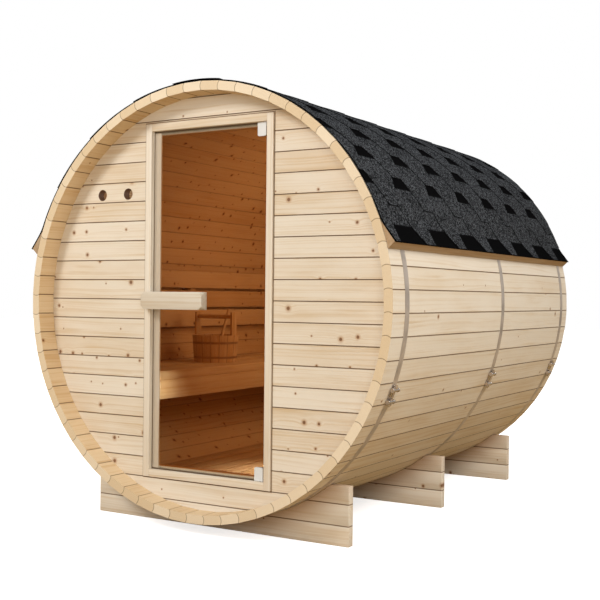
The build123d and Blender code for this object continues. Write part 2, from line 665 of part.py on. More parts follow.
def make_bench():
    """Slatted seat with a front board, resting on a bearer at each end wall."""
    under = BENCH_LEVEL - BENCH_SLAT_THICKNESS - SEAT
    room = half_chord(CLEAR_RADIUS, under) + BENCH_FRONT_X
    pitch = BENCH_SLAT_WIDTH + BENCH_SLAT_GAP
    slats = []
    for index in range(that_fit(room, BENCH_SLAT_WIDTH, BENCH_SLAT_GAP)):
        right = BENCH_FRONT_X - index * pitch
        levels = (BENCH_LEVEL - BENCH_SLAT_THICKNESS, BENCH_LEVEL)
        slats.append(block((right - BENCH_SLAT_WIDTH, right), (CABIN_FRONT, CABIN_BACK), levels))
    save("bench_seat", *slats)
    fascia_x = (BENCH_FRONT_X - FASCIA_THICKNESS, BENCH_FRONT_X)
    save("bench_front_board", block(fascia_x, (CABIN_FRONT, CABIN_BACK), (under - FASCIA_HEIGHT, under)))
    bearer_x = (-BARREL_RADIUS, fascia_x[0] - SEAT)
    bearers = []
    for front in (CABIN_FRONT, CABIN_BACK - BENCH_BEARER_WIDTH):
        back = front + BENCH_BEARER_WIDTH
        whole = block(bearer_x, (front, back), (under - BENCH_BEARER_HEIGHT, under))
        bearers.append(whole & barrel_bore(CLEAR_RADIUS, front - OVERSHOOT, back + OVERSHOOT))
    save("bench_bearers", *bearers)


def make_backrest():
    """Three boards on upright battens scribed to the shell."""
    pitch = BACKREST_BOARD_HEIGHT + BACKREST_BOARD_GAP
    board_x = (BACKREST_X, BACKREST_X + BACKREST_THICKNESS)
    pieces = []
    for index in range(BACKREST_BOARD_COUNT):
        low = BACKREST_BOTTOM_LEVEL + index * pitch
        pieces.append(block(board_x, (CABIN_FRONT, CABIN_BACK), (low, low + BACKREST_BOARD_HEIGHT)))
    high = BACKREST_BOTTOM_LEVEL + BACKREST_BOARD_COUNT * pitch - BACKREST_BOARD_GAP
    first = CABIN_FRONT + BACKREST_BATTEN_INSET
    step = (CABIN_BACK - BACKREST_BATTEN_INSET - BACKREST_BATTEN_WIDTH - first) / (BACKREST_BATTEN_COUNT - 1)
    for index in range(BACKREST_BATTEN_COUNT):
        front = first + index * step
        back = front + BACKREST_BATTEN_WIDTH
        whole = block((-BARREL_RADIUS, BACKREST_X - SEAT), (front, back), (BACKREST_BOTTOM_LEVEL, high))
        pieces.append(whole & barrel_bore(CLEAR_RADIUS, front - OVERSHOOT, back + OVERSHOOT))
    save("backrest", *pieces)


def make_bucket():
    """Turned bucket with two tall lugs carrying its cross bar, and the ladle in it."""
    place = Pos(BENCH_FRONT_X - BUCKET_SETBACK, BUCKET_SHIFT, BENCH_LEVEL + SEAT + AXIS_HEIGHT)
    inner_base = BUCKET_BASE_RADIUS - BUCKET_WALL
    inner_top = BUCKET_RADIUS - BUCKET_WALL
    profile = Polyline(
        (0, 0), (BUCKET_BASE_RADIUS, 0), (BUCKET_RADIUS, BUCKET_HEIGHT), (inner_top, BUCKET_HEIGHT),
        (inner_base, BUCKET_FLOOR), (0, BUCKET_FLOOR), close=True,
    )
    shell = revolve(make_face(Plane.XZ * profile), Axis.Z)
    lug_shape = Rectangle(LUG_WIDTH, LUG_HEIGHT - BUCKET_HEIGHT + 2 * OVERSHOOT)
    lug_face = Plane.YZ * Pos(0, (LUG_HEIGHT + BUCKET_HEIGHT) / 2) * lug_shape
    lug_round = Cylinder(BUCKET_RADIUS, LUG_HEIGHT) - Cylinder(inner_top, LUG_HEIGHT)
    lugs = extrude(lug_face, amount=BUCKET_RADIUS, both=True)
    lugs &= Pos(0, 0, LUG_HEIGHT / 2) * lug_round
    across = Pos(0, 0, LUG_HEIGHT - BAIL_DROP) * Rot(0, 90, 0)
    bail = across * Cylinder(BAIL_RADIUS, 2 * BUCKET_RADIUS)
    bail_hole = across * Cylinder(BAIL_RADIUS + BAIL_CLEARANCE, 2 * (BUCKET_RADIUS + OVERSHOOT))
    bucket = shell + lugs - bail_hole
    save("bucket", place * bucket, place * bail)
    bowl_inner = LADLE_BOWL_RADIUS - LADLE_BOWL_WALL
    bowl = split(Sphere(LADLE_BOWL_RADIUS) - Sphere(bowl_inner), bisect_by=Plane.XY, keep=Keep.BOTTOM)
    grip_start = Vector(0, LADLE_BOWL_RADIUS - LADLE_BOWL_WALL / 2, -LADLE_GRIP_RADIUS)
    lean = Vector(0, sin(radians(LADLE_TILT)), cos(radians(LADLE_TILT)))
    grip_face = Plane(origin=grip_start, z_dir=lean) * Circle(LADLE_GRIP_RADIUS)
    grip = extrude(grip_face, amount=LADLE_GRIP_LENGTH) - Sphere(bowl_inner)
    ladle = Pos(0, -LADLE_BOWL_RADIUS / 2, BUCKET_FLOOR + LADLE_BOWL_RADIUS + SEAT) * (bowl + grip)
    save("ladle", place * ladle)


make_staves()
make_walls()
make_frame()
make_glass()
make_handles()
make_hinges()
make_cradles()
make_bands()
make_eaves_strips()
make_roof()
make_floor()
make_bench()
make_backrest()
make_bucket()
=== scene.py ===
"""Finishes and fine pieces of a garden barrel sauna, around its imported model."""

import math

import bmesh
import bpy
from mathutils import Matrix, Vector


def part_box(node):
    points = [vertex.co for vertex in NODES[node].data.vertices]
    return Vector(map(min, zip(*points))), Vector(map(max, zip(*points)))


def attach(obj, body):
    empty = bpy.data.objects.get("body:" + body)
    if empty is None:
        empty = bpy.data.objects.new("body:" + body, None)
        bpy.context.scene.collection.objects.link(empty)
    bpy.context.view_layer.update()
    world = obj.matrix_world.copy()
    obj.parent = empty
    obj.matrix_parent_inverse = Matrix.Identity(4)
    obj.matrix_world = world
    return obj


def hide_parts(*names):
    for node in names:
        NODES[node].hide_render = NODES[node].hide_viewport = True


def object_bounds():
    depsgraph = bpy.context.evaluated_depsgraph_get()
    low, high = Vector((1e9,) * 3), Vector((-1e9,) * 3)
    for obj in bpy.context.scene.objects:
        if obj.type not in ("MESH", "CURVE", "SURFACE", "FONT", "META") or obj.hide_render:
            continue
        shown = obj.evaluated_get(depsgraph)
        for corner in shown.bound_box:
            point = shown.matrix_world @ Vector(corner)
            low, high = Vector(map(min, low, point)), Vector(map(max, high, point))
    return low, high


bl_info = {
    "name": "Barrel Sauna",
    "version": (1, 0, 0),
    "blender": (4, 5, 0),
    "location": "View3D > Sidebar > Sauna",
    "description": "Gives a packed barrel sauna its wood, glass, steel and shingles",
    "category": "Object",
}

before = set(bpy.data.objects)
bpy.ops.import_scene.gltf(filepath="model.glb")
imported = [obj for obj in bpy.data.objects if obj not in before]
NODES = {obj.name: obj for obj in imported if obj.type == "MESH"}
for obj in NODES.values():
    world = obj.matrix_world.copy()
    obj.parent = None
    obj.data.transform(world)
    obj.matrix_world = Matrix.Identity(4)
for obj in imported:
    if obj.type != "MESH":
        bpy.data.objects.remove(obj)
CAD_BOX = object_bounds()

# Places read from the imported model, in metres
BAND_LOW, BAND_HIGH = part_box("band_middle")
AXIS_Z = (BAND_LOW.z + BAND_HIGH.z) / 2
BAND_OUTER = (BAND_HIGH.x - BAND_LOW.x) / 2
BARREL_FRONT = CAD_BOX[0].y
BARREL_BACK = CAD_BOX[1].y
FRAME_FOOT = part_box("door_frame_left")[0].z
FRAME_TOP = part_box("door_frame_left")[1].z
FRAME_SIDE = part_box("door_frame_right")[1].x
GLASS_LOW, GLASS_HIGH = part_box("door_glass")
GLASS_MIDDLE = (GLASS_LOW.y + GLASS_HIGH.y) / 2
WALL_FRONT = GLASS_LOW.y
WALL_REAR = -WALL_FRONT
BENCH_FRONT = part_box("bench_seat")[1].x
BACKREST_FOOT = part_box("backrest")[0].z
FLOOR_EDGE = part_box("floor_boards")[0].x
BUCKET_LOW, BUCKET_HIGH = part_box("bucket")
BUCKET_PLACE = (BUCKET_LOW + BUCKET_HIGH) / 2

# Where the cradles, bands and clamps stand along the barrel
PLACES = ("front", "middle", "rear")

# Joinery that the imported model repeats, in metres and radians
STAVE_PITCH = math.radians(360 / 64)
STAVE_JOINT = math.radians(3.75)
STAVE_MIDDLE = 0.92936
STAVE_HALF = 0.0195
STAVE_BEAD = 0.006
BOARD_COVER = 0.0893
BOARD_JOINT_DROP = 0.0024
CRADLE_JOINTS = (0.085, 0.175)
SLAT_PITCH = 0.093
BACKREST_PITCH = 0.108
FLOOR_PITCH = 0.106
VENTS = (-0.450, -0.604)
VENT_LEVEL = 1.493856
VENT_RADIUS = 0.026

# Number of the first board of each group, so that every board has its own tone
REAR_BOARDS = 50
CRADLE_BOARDS = 200
UPRIGHT_BOARDS = 300
RAIL_BOARDS = 310
HANDLE_BOARDS = 420
SLAT_BOARDS = 500
FLOOR_BOARDS = 600
BACKREST_BOARDS = 700
BEARER_BOARDS = 800
BUCKET_BOARDS = 900

# Steps in a metre that tell like pieces apart, and the board numbers kept for each
CRADLE_STEPS = 3
CRADLE_SHARE = 7
SLAT_LEVEL_STEPS = 4
SLAT_LEVEL_SHARE = 9
BEARER_STEPS = 2
BEARER_SHIFT = 0.2

# Knots of the staves, as a share of the plain wood's
OUTSIDE_KNOTS = 0.15
CABIN_KNOTS = 1.5

# Joints between boards: how dark they are, and boards that have none
JOINT_SHADE = 0.88
NO_SEAM = None

# Reach of the shades and of changes from piece to piece, in metres
INTO_GAP = 0.004
FACE_CHANGE = 0.006
FRAME_GAP = 0.008
GLASS_GAP_DEPTH = 0.004
VENT_SHADE_MARGIN = 0.002
CRADLE_SHADE_REACH = 1.08

# Colours inside the sauna, where the light is warm
CABIN_TINT = (0.94, 0.82, 0.64)
CABIN_STAVE_TINT = (0.94, 0.80, 0.60)
BENCH_TINT = (1.0, 0.92, 0.76)

# Bucket on the bench: a count of staves, and sizes in metres
BUCKET_STAVES = 16
BUCKET_STAVE_WIDTH = 0.04
BUCKET_SEAM_THINNING = 0.0012
BUCKET_BASE = 0.114
BUCKET_TOP = 0.125
BUCKET_BODY = 0.145
BUCKET_RIM = BUCKET_LOW.z + BUCKET_BODY + 0.002
HOOP_LEVELS = (0.026, 0.104)
HOOP_WIDTH = 0.012
HOOP_THICKNESS = 0.0012

# How far a cap stands off the band's edge and a hoop's face off the bucket, in metres
SEAT = 0.0002

# Band clamps, in metres and radians
CLAMP_ANGLE = math.radians(-22)
CLAMP_ROLL_LIFT = 0.0101
CLAMP_ROLL_SHIFT = 0.026
CAP_RADIUS = 0.0105
CAP_HEIGHT = 0.008
CAP_EASING = 0.001

# Smallest turn between two faces of a sawn piece whose edge is rounded over
SHARP_EDGE = math.radians(50)

# Roof profile: the eaves strip's section and the flare over it, in metres and radians
ROOF_RADIUS = 0.951
ROOF_SEAT = 0.0003
STRIP_FOOT_ANGLE = math.radians(13.3)
STRIP_WIDTH = 0.111
STRIP_DEPTH = 0.034
STRIP_CORNER = 0.019
ROOF_DRIP = 0.004
FLARE_RADIUS = 0.26
BEND_STEP = 0.022

# Lifts of the shingles, in thicknesses of one shingle, and the ridge caps' share of a lap
LAP_LIFT = 2.1
RIDGE_LIFT = 1.75
RIDGE_LAP_SHARE = 0.5

# Sizes of the shingles that no notch is cut in, in metres
RIDGE_CAP_WIDTH = 0.25
SHORTEST_RIDGE_CAP = 0.01
STARTER_HEAD = 0.02
STARTER_SHADE = 0.092

# Shift of the pattern for each metre between one shingle course or cap and the next
PATTERN_SHIFT = 3

# Pale floor of the stage: from its middle to a side, depth and where it fades, in metres
PALE_FLOOR_REACH = 30.0
PALE_FLOOR_DROP = 0.0005
PALE_FLOOR_FADE = (1.2, 3.6)

# Lamps of the stage: place, target, size in metres, colour and spread in degrees
WHITE = (1.0, 1.0, 1.0)
COOL = (0.40, 0.64, 1.0)
BARREL_MIDDLE = (0.0, 0.0, 0.9)
LAMPS = {
    "key": ((-1.9, -5.3, 4.5), BARREL_MIDDLE, 1.5, WHITE, 180),
    "side": ((5.0, -1.2, 5.2), BARREL_MIDDLE, 2.4, WHITE, 180),
    "front": ((3.6, -6.2, 1.9), BARREL_MIDDLE, 3.0, WHITE, 180),
    "low": ((-4.0, -4.6, 1.0), BARREL_MIDDLE, 2.5, WHITE, 180),
    "rear": ((-2.5, 5.5, 4.6), BARREL_MIDDLE, 3.0, WHITE, 180),
    "cabin": ((0.50, 0.25, 1.35), (-0.6, 0.15, 1.15), 0.9, WHITE, 180),
    "sill": ((0.12, -0.68, 0.58), (0.10, -0.68, 0), 0.12, COOL, 100),
    "bench": ((-0.15, -0.91, 0.66), (-0.37, -0.88, 0.56), 0.05, COOL, 80),
}


class SaunaWood(bpy.types.PropertyGroup):
    """Colours of the spruce and how knotty it is."""

    pale: bpy.props.FloatVectorProperty(
        name="Pale wood", description="Colour between the growth rings",
        default=(0.80, 0.71, 0.58), size=3, min=0, max=1, subtype="COLOR")
    warm: bpy.props.FloatVectorProperty(
        name="Warm wood", description="Colour along the growth rings",
        default=(0.64, 0.47, 0.28), size=3, min=0, max=1, subtype="COLOR")
    knot: bpy.props.FloatVectorProperty(
        name="Knot", description="Colour in the middle of a knot",
        default=(0.17, 0.07, 0.025), size=3, min=0, max=1, subtype="COLOR")
    joint: bpy.props.FloatVectorProperty(
        name="Joint", description="Colour of the shade in the joints between boards",
        default=(0.16, 0.085, 0.032), size=3, min=0, max=1, subtype="COLOR")
    knot_spacing: bpy.props.FloatProperty(
        name="Knot spacing", description="Distance from one possible knot to the next",
        default=0.085, min=0.02, unit="LENGTH")
    knot_radius: bpy.props.FloatProperty(
        name="Knot radius", description="Radius of the largest knots",
        default=0.0105, min=0.001, unit="LENGTH")
    knot_share: bpy.props.FloatProperty(
        name="Knot share", description="Share of the possible places that hold a knot",
        default=0.45, min=0, max=1, subtype="FACTOR")


class SaunaRoof(bpy.types.PropertyGroup):
    """Sizes and colours of the bitumen shingles."""

    exposure: bpy.props.FloatProperty(
        name="Exposure", description="Height of each course that stays uncovered",
        default=0.148, min=0.02, unit="LENGTH")
    first_angle: bpy.props.FloatProperty(
        name="Second course", description="Where the second course starts, above the axis",
        default=math.radians(24.7), subtype="ANGLE", unit="ROTATION")
    tab_pitch: bpy.props.FloatProperty(
        name="Tab pitch", description="Distance from one notch to the next",
        default=0.337, min=0.05, unit="LENGTH")
    notch_top: bpy.props.FloatProperty(
        name="Notch top", description="Width of a notch at its upper end",
        default=0.094, min=0.001, unit="LENGTH")
    notch_foot: bpy.props.FloatProperty(
        name="Notch foot", description="Width of a notch at its open lower end",
        default=0.252, min=0.001, unit="LENGTH")
    first_notch: bpy.props.FloatProperty(
        name="First notch", description="Place of a notch of the eaves course, from the front",
        default=0.165, unit="LENGTH")
    thickness: bpy.props.FloatProperty(
        name="Thickness", description="Thickness of one shingle",
        default=0.0023, min=0.001, unit="LENGTH")
    head_cover: bpy.props.FloatProperty(
        name="Head cover", description="How far a course runs on under the next one",
        default=0.150, min=0.02, unit="LENGTH")
    shade_band: bpy.props.FloatProperty(
        name="Shade band", description="Height of the dark printed band in a notch",
        default=0.061, min=0, unit="LENGTH")
    granules: bpy.props.FloatVectorProperty(
        name="Granules", description="Colour of the mineral surface",
        default=(0.039, 0.041, 0.044), size=3, min=0, max=1, subtype="COLOR")
    shade: bpy.props.FloatVectorProperty(
        name="Shade colour", description="Colour of the printed band",
        default=(0.0040, 0.0040, 0.0042), size=3, min=0, max=1, subtype="COLOR")


class SaunaDoor(bpy.types.PropertyGroup):
    """Tint of the glass and colours of the metal."""

    tint: bpy.props.FloatVectorProperty(
        name="Glass tint", description="Light that one face of the glass lets through",
        default=(0.79, 0.575, 0.385), size=3, min=0, max=1, subtype="COLOR")
    closing_margin: bpy.props.FloatProperty(
        name="Closing margin", description="Clear margin of the glass on its closing edge",
        default=0.034, min=0, unit="LENGTH")
    margin: bpy.props.FloatProperty(
        name="Margin", description="Clear margin of the glass at its top and foot",
        default=0.010, min=0, unit="LENGTH")
    steel: bpy.props.FloatVectorProperty(
        name="Steel", description="Colour of bolts, nuts and sleeves",
        default=(0.64, 0.56, 0.49), size=3, min=0, max=1, subtype="COLOR")
    band: bpy.props.FloatVectorProperty(
        name="Band steel", description="Colour of the bands round the barrel",
        default=(0.60, 0.52, 0.45), size=3, min=0, max=1, subtype="COLOR")


class SaunaStage(bpy.types.PropertyGroup):
    """Camera, lamps and floor round the sauna."""

    eye: bpy.props.FloatVectorProperty(
        name="Camera", description="Where the camera stands",
        default=(2.6711, -4.7003, 1.0283), size=3, subtype="TRANSLATION", unit="LENGTH")
    turn: bpy.props.FloatProperty(
        name="Turn", description="How far the camera is turned to its left",
        default=0.53986, subtype="ANGLE", unit="ROTATION")
    tilt: bpy.props.FloatProperty(
        name="Tilt", description="How far the camera looks up",
        default=-0.00278, subtype="ANGLE", unit="ROTATION")
    lean: bpy.props.FloatProperty(
        name="Lean", description="How far the camera leans sideways",
        default=0.010177, subtype="ANGLE", unit="ROTATION")
    lens: bpy.props.FloatProperty(
        name="Lens", description="Focal length in millimetres on a 36 mm sensor",
        default=61.91, min=1)
    dome: bpy.props.FloatProperty(
        name="Dome light", description="Strength of the even light from all round",
        default=0.40, min=0)
    key: bpy.props.FloatProperty(
        name="Key lamp", description="Power of the lamp high in front, in watts",
        default=162.0, min=0)
    side: bpy.props.FloatProperty(
        name="Side lamp", description="Power of the lamp on the right, in watts",
        default=235.0, min=0)
    front: bpy.props.FloatProperty(
        name="Front lamp", description="Power of the soft lamp beside the camera, in watts",
        default=112.0, min=0)
    low: bpy.props.FloatProperty(
        name="Low lamp", description="Power of the low lamp on the left, in watts",
        default=20.0, min=0)
    rear: bpy.props.FloatProperty(
        name="Rear lamp", description="Power of the lamp behind the sauna, in watts",
        default=230.0, min=0)
    sill: bpy.props.FloatProperty(
        name="Sill lamp", description="Power of the small lamp over the sill, in watts",
        default=1.75, min=0)
    bench: bpy.props.FloatProperty(
        name="Bench lamp", description="Power of the small lamp at the bench's front end, in watts",
        default=0.35, min=0)
    cabin: bpy.props.FloatProperty(
        name="Cabin lamp", description="Power of the soft lamp inside, in watts",
        default=7.3, min=0)


class Wire:
    """A shader value that sums, products and comparisons can be written with."""

    def __init__(self, finish, socket):
        self.finish = finish
        self.socket = socket

    def other(self, name):
        """Another output of the same node."""
        return Wire(self.finish, self.socket.node.outputs[name])

    def __add__(self, value):
        return self.finish.math("ADD", self, value)

    def __sub__(self, value):
        return self.finish.math("SUBTRACT", self, value)

    def __mul__(self, value):
        return self.finish.math("MULTIPLY", self, value)

    def __truediv__(self, value):
        return self.finish.math("DIVIDE", self, value)

    def __radd__(self, value):
        return self.finish.math("ADD", value, self)

    def __rsub__(self, value):
        return self.finish.math("SUBTRACT", value, self)

    def __rmul__(self, value):
        return self.finish.math("MULTIPLY", value, self)

    def __rtruediv__(self, value):
        return self.finish.math("DIVIDE", value, self)

    def __lt__(self, value):
        return self.finish.math("LESS_THAN", self, value)

    def __gt__(self, value):
        return self.finish.math("GREATER_THAN", self, value)

    def __abs__(self):
        return self.finish.math("ABSOLUTE", self)

    def floor(self):
        """The whole number at or below this value."""
        return self.finish.math("FLOOR", self)

    def root(self):
        """The square root."""
        return self.finish.math("SQRT", self)

    def sine(self):
        """The sine of this value in radians."""
        return self.finish.math("SINE", self)

    def most(self, value):
        """The larger of this value and another."""
        return self.finish.math("MAXIMUM", self, value)

    def least(self, value):
        """The smaller of this value and another."""
        return self.finish.math("MINIMUM", self, value)

    def hypot(self, value):
        """The diagonal over this value and another."""
        return (self * self + value * value).root()

    def nearest(self):
        """The distance to the nearest whole number."""
        return self.finish.math("PINGPONG", self, 0.5)

    def fade(self, start, end):
        """0 at start and 1 at end, with a smooth change between."""
        return self.finish.node(
            "ShaderNodeMapRange", {"interpolation_type": "SMOOTHSTEP"},
            {"Value": self, "From Min": start, "From Max": end})


class Finish:
    """A material in the making, with short ways to add its nodes."""

    def __init__(self, name):
        self.material = bpy.data.materials.new(name)
        self.material.use_nodes = True
        self.tree = self.material.node_tree
        self.surface = self.tree.nodes["Principled BSDF"]

    def node(self, kind, settings=None, sockets=None, output=0):
        """A node with its settings, then its sockets' values or links, and one output."""
        made = self.tree.nodes.new(kind)
        for name, value in (settings or {}).items():
            setattr(made, name, value)
        for name, value in (sockets or {}).items():
            self.feed(made.inputs[name], value)
        return Wire(self, made.outputs[output])

    def math(self, operation, *values):
        """Values through one Math node."""
        return self.node("ShaderNodeMath", {"operation": operation}, dict(enumerate(values)))

    def feed(self, socket, value):
        """Link a wire to a socket, or set the socket's own value."""
        if isinstance(value, Wire):
            self.tree.links.new(value.socket, socket)
        elif hasattr(value, "__len__") and len(value) == 3 and len(socket.default_value) == 4:
            socket.default_value = (*value, 1.0)
        else:
            socket.default_value = value

    def set(self, **values):
        """Values or links of the surface shader, with spaces written as underscores."""
        for name, value in values.items():
            self.feed(self.surface.inputs[name.replace("_", " ")], value)

    def colour(self):
        """The colour that the surface has so far."""
        return Wire(self, self.surface.inputs["Base Color"].links[0].from_socket)

    def parts(self, vector):
        """The three parts of a vector."""
        split = self.node("ShaderNodeSeparateXYZ", sockets={0: vector})
        return split, split.other("Y"), split.other("Z")

    def place(self):
        """The three Object coordinates, in metres."""
        return self.parts(self.node("ShaderNodeTexCoord", output="Object"))

    def facing(self):
        """The three parts of the surface's own direction."""
        return self.parts(self.node("ShaderNodeTexCoord", output="Normal"))

    def vector(self, x, y, z):
        """Three values as one vector."""
        return self.node("ShaderNodeCombineXYZ", sockets={0: x, 1: y, 2: z})

    def noise(self, x, y, z, detail=2.0, roughness=0.5):
        """Smooth noise from 0 to 1, with one lump to each unit."""
        return self.node(
            "ShaderNodeTexNoise", {"noise_dimensions": "3D"},
            {"Vector": self.vector(x, y, z), "Scale": 1.0, "Detail": detail, "Roughness": roughness})

    def chance(self, value):
        """A random number from 0 to 1 that belongs to a whole number."""
        return self.node("ShaderNodeTexWhiteNoise", {"noise_dimensions": "1D"}, {"W": value})

    def cells(self, place, scale):
        """The distance to the nearest of many scattered points on a plane."""
        return self.node(
            "ShaderNodeTexVoronoi", {"voronoi_dimensions": "2D", "feature": "F1"},
            {"Vector": place, "Scale": scale})

    def mix(self, share, low, high, blend="MIX"):
        """A colour between two others, or another blend of them."""
        return self.node(
            "ShaderNodeMix", {"data_type": "RGBA", "blend_type": blend},
            {"Factor": share, 6: low, 7: high}, output=2)

    def mix_shaders(self, share, low, high):
        """A surface between two others."""
        return self.node("ShaderNodeMixShader", sockets={0: share, 1: low, 2: high})

    def bump(self, height, distance, strength=1.0):
        """A surface direction raised by a height from 0 to 1."""
        return self.node(
            "ShaderNodeBump", sockets={"Height": height, "Distance": distance, "Strength": strength})


def settings():
    """The add-on's own values."""
    return bpy.context.scene.sauna


def inner_half(radius):
    """1 on the inner half of the staves' thickness, and 0 on the outer half."""
    return radius.fade(STAVE_MIDDLE + FACE_CHANGE, STAVE_MIDDLE - FACE_CHANGE)


def in_cabin(finish):
    """1 on the inner half of the staves between the end walls, and 0 elsewhere."""
    x, y, z = finish.place()
    inside = inner_half(x.hypot(z - AXIS_Z))
    return inside * (y > WALL_FRONT) * (y < WALL_REAR)


def stave_knots(finish):
    """Few knots outside and many in the cabin."""
    return in_cabin(finish) * CABIN_KNOTS + OUTSIDE_KNOTS


def stave_layout(finish):
    """Grain along the barrel, one board to each stave round the axis."""
    x, y, z = finish.place()
    height = z - AXIS_Z
    angle = finish.math("ARCTAN2", height, x)
    radius = x.hypot(height)
    part = (radius - STAVE_MIDDLE) / STAVE_HALF
    bead = STAVE_BEAD * (1 - part * part) / radius
    turn = (angle - STAVE_JOINT - bead) / STAVE_PITCH
    return y, angle * STAVE_MIDDLE, radius, turn.floor(), turn.nearest() * STAVE_PITCH * radius


def wall_layout(finish):
    """Grain across the sauna, one board to each joint of the end walls."""
    x, y, z = finish.place()
    level = (z - (FRAME_FOOT - BOARD_JOINT_DROP)) / BOARD_COVER
    return x, z, y, level.floor() + (y > 0) * REAR_BOARDS, level.nearest() * BOARD_COVER


def cradle_layout(finish):
    """Grain across the sauna, in the three glued planks of each cradle."""
    x, y, z = finish.place()
    low, high = CRADLE_JOINTS
    seam = abs(z - low).least(abs(z - high))
    plank = (z > low) + (z > high)
    cradle = (y * CRADLE_STEPS).floor()
    return x, z, y, plank + cradle * CRADLE_SHARE + CRADLE_BOARDS, seam


def upright_layout(finish):
    """Grain upwards, one board on each side."""
    x, y, z = finish.place()
    return z, x, y, (x > 0) + UPRIGHT_BOARDS, NO_SEAM


def rail_layout(finish):
    """Grain across the door, one board above and one below."""
    x, y, z = finish.place()
    return x, z, y, (z > AXIS_Z) + RAIL_BOARDS, NO_SEAM


def handle_layout(finish):
    """Grain across the door, in one piece outside and one inside."""
    x, y, z = finish.place()
    return x, z, y, (y > GLASS_MIDDLE) + HANDLE_BOARDS, NO_SEAM


def slat_layout(finish):
    """Grain along the barrel, in boards that lie side by side on several levels."""
    x, y, z = finish.place()
    slat = ((x - BENCH_FRONT - INTO_GAP) / SLAT_PITCH).floor()
    level = (z * SLAT_LEVEL_STEPS).floor()
    return y, x, z, slat + level * SLAT_LEVEL_SHARE + SLAT_BOARDS, NO_SEAM


def floor_layout(finish):
    """Grain along the barrel, one board to each floor board."""
    x, y, z = finish.place()
    board = ((x - FLOOR_EDGE + INTO_GAP) / FLOOR_PITCH).floor()
    return y, x, z, board + FLOOR_BOARDS, NO_SEAM


def backrest_layout(finish):
    """Grain along the barrel, in boards one above the other."""
    x, y, z = finish.place()
    board = ((z - BACKREST_FOOT + INTO_GAP) / BACKREST_PITCH).floor()
    return y, z, x, board + BACKREST_BOARDS, NO_SEAM


def bearer_layout(finish):
    """Grain across the sauna in timbers out of sight."""
    x, y, z = finish.place()
    bearer = (y * BEARER_STEPS + BEARER_SHIFT).floor()
    return x, z, y, bearer + BEARER_BOARDS, NO_SEAM


def bucket_layout(finish):
    """Grain upwards in the bucket's narrow staves."""
    x, y, z = finish.place()
    away, aside = x - BUCKET_PLACE.x, y - BUCKET_PLACE.y
    turn = finish.math("ARCTAN2", aside, away) * (BUCKET_STAVES / math.tau)
    radius = away.hypot(aside)
    seam = turn.nearest() * (math.tau / BUCKET_STAVES) * radius + BUCKET_SEAM_THINNING
    above_rim = z > BUCKET_RIM
    return z, turn * BUCKET_STAVE_WIDTH, radius, turn.floor() + BUCKET_BOARDS, seam + above_rim


def make_wood(name, layout, knots=1.0, darker=0.0, tint=WHITE):
    """Planed spruce with growth rings, fine fibres, small dark knots and open joints."""
    wood = settings().wood
    finish = Finish(name)
    along, across, depth, board, seam = layout(finish)
    tone = finish.chance(board)
    u = along + board * 7.31
    v = across + board * 1.93

    # Knots, with a ring round each and the grain flowing past
    cell = finish.cells(finish.vector(u, v, 0), 1 / wood.knot_spacing)
    luck, chance, _ = finish.parts(cell.other("Color"))
    edge = finish.noise(u * 260, v * 260, depth * 260, 1.0)
    distance = cell * wood.knot_spacing + (edge - 0.5) * 0.003
    share = knots(finish) if callable(knots) else knots
    held = chance < share * wood.knot_share
    radius = luck * luck * (wood.knot_radius * 0.70) + wood.knot_radius * 0.30
    core = distance.fade(radius * 1.1, radius * 0.5) * held
    halo = distance.fade(radius * 2.2, radius * 0.8) * held
    flow = distance.fade(radius * 6.0, radius * 0.5) * held

    # Growth rings, fibres, stains and streaks
    wander = finish.noise(u * 1.1, v * 6, board * 3.7, 2.0)
    bent = v + wander * 0.05 + flow * 0.008
    rings = finish.noise(u * 0.35, bent * 130, depth * 110, 1.0, 0.4)
    lines = rings.fade(0.42, 0.70)
    fibres = finish.noise(u * 22, bent * 1500, depth * 1500, 2.0, 0.6)
    stain = finish.noise(u * 3.1, v * 11.0, depth * 9.0 + board, 3.0)
    streak = finish.noise(u * 2.0, bent * 55, depth * 40 + board * 2.3, 2.0).fade(0.54, 0.82)
    warmth = (
        lines * 0.30 + (fibres - 0.5) * 0.20 + (tone - 0.5) * 0.40 + (stain - 0.5) * 0.85
        + streak * 0.45 + 0.14 + darker)

    # Colour and surface
    pale = tuple(part * by for part, by in zip(wood.pale, tint))
    warm = tuple(part * by for part, by in zip(wood.warm, tint))
    body = finish.mix(warmth.fade(-0.15, 1.05), pale, warm)
    ringed = finish.mix(halo * 0.55, body, (0.46, 0.23, 0.08))
    spotted = finish.mix(core * 0.90, ringed, wood.knot)
    if seam is not NO_SEAM:
        spotted = finish.mix(seam.fade(0.0034, 0.0014) * JOINT_SHADE, spotted, wood.joint)
    finish.set(
        Base_Color=spotted,
        Roughness=0.56 + (fibres - 0.5) * 0.2 - core * 0.14,
        Specular_IOR_Level=0.35,
        Normal=finish.bump(lines * 0.35 + fibres * 0.5 - core * 0.5, 0.0006))
    return finish


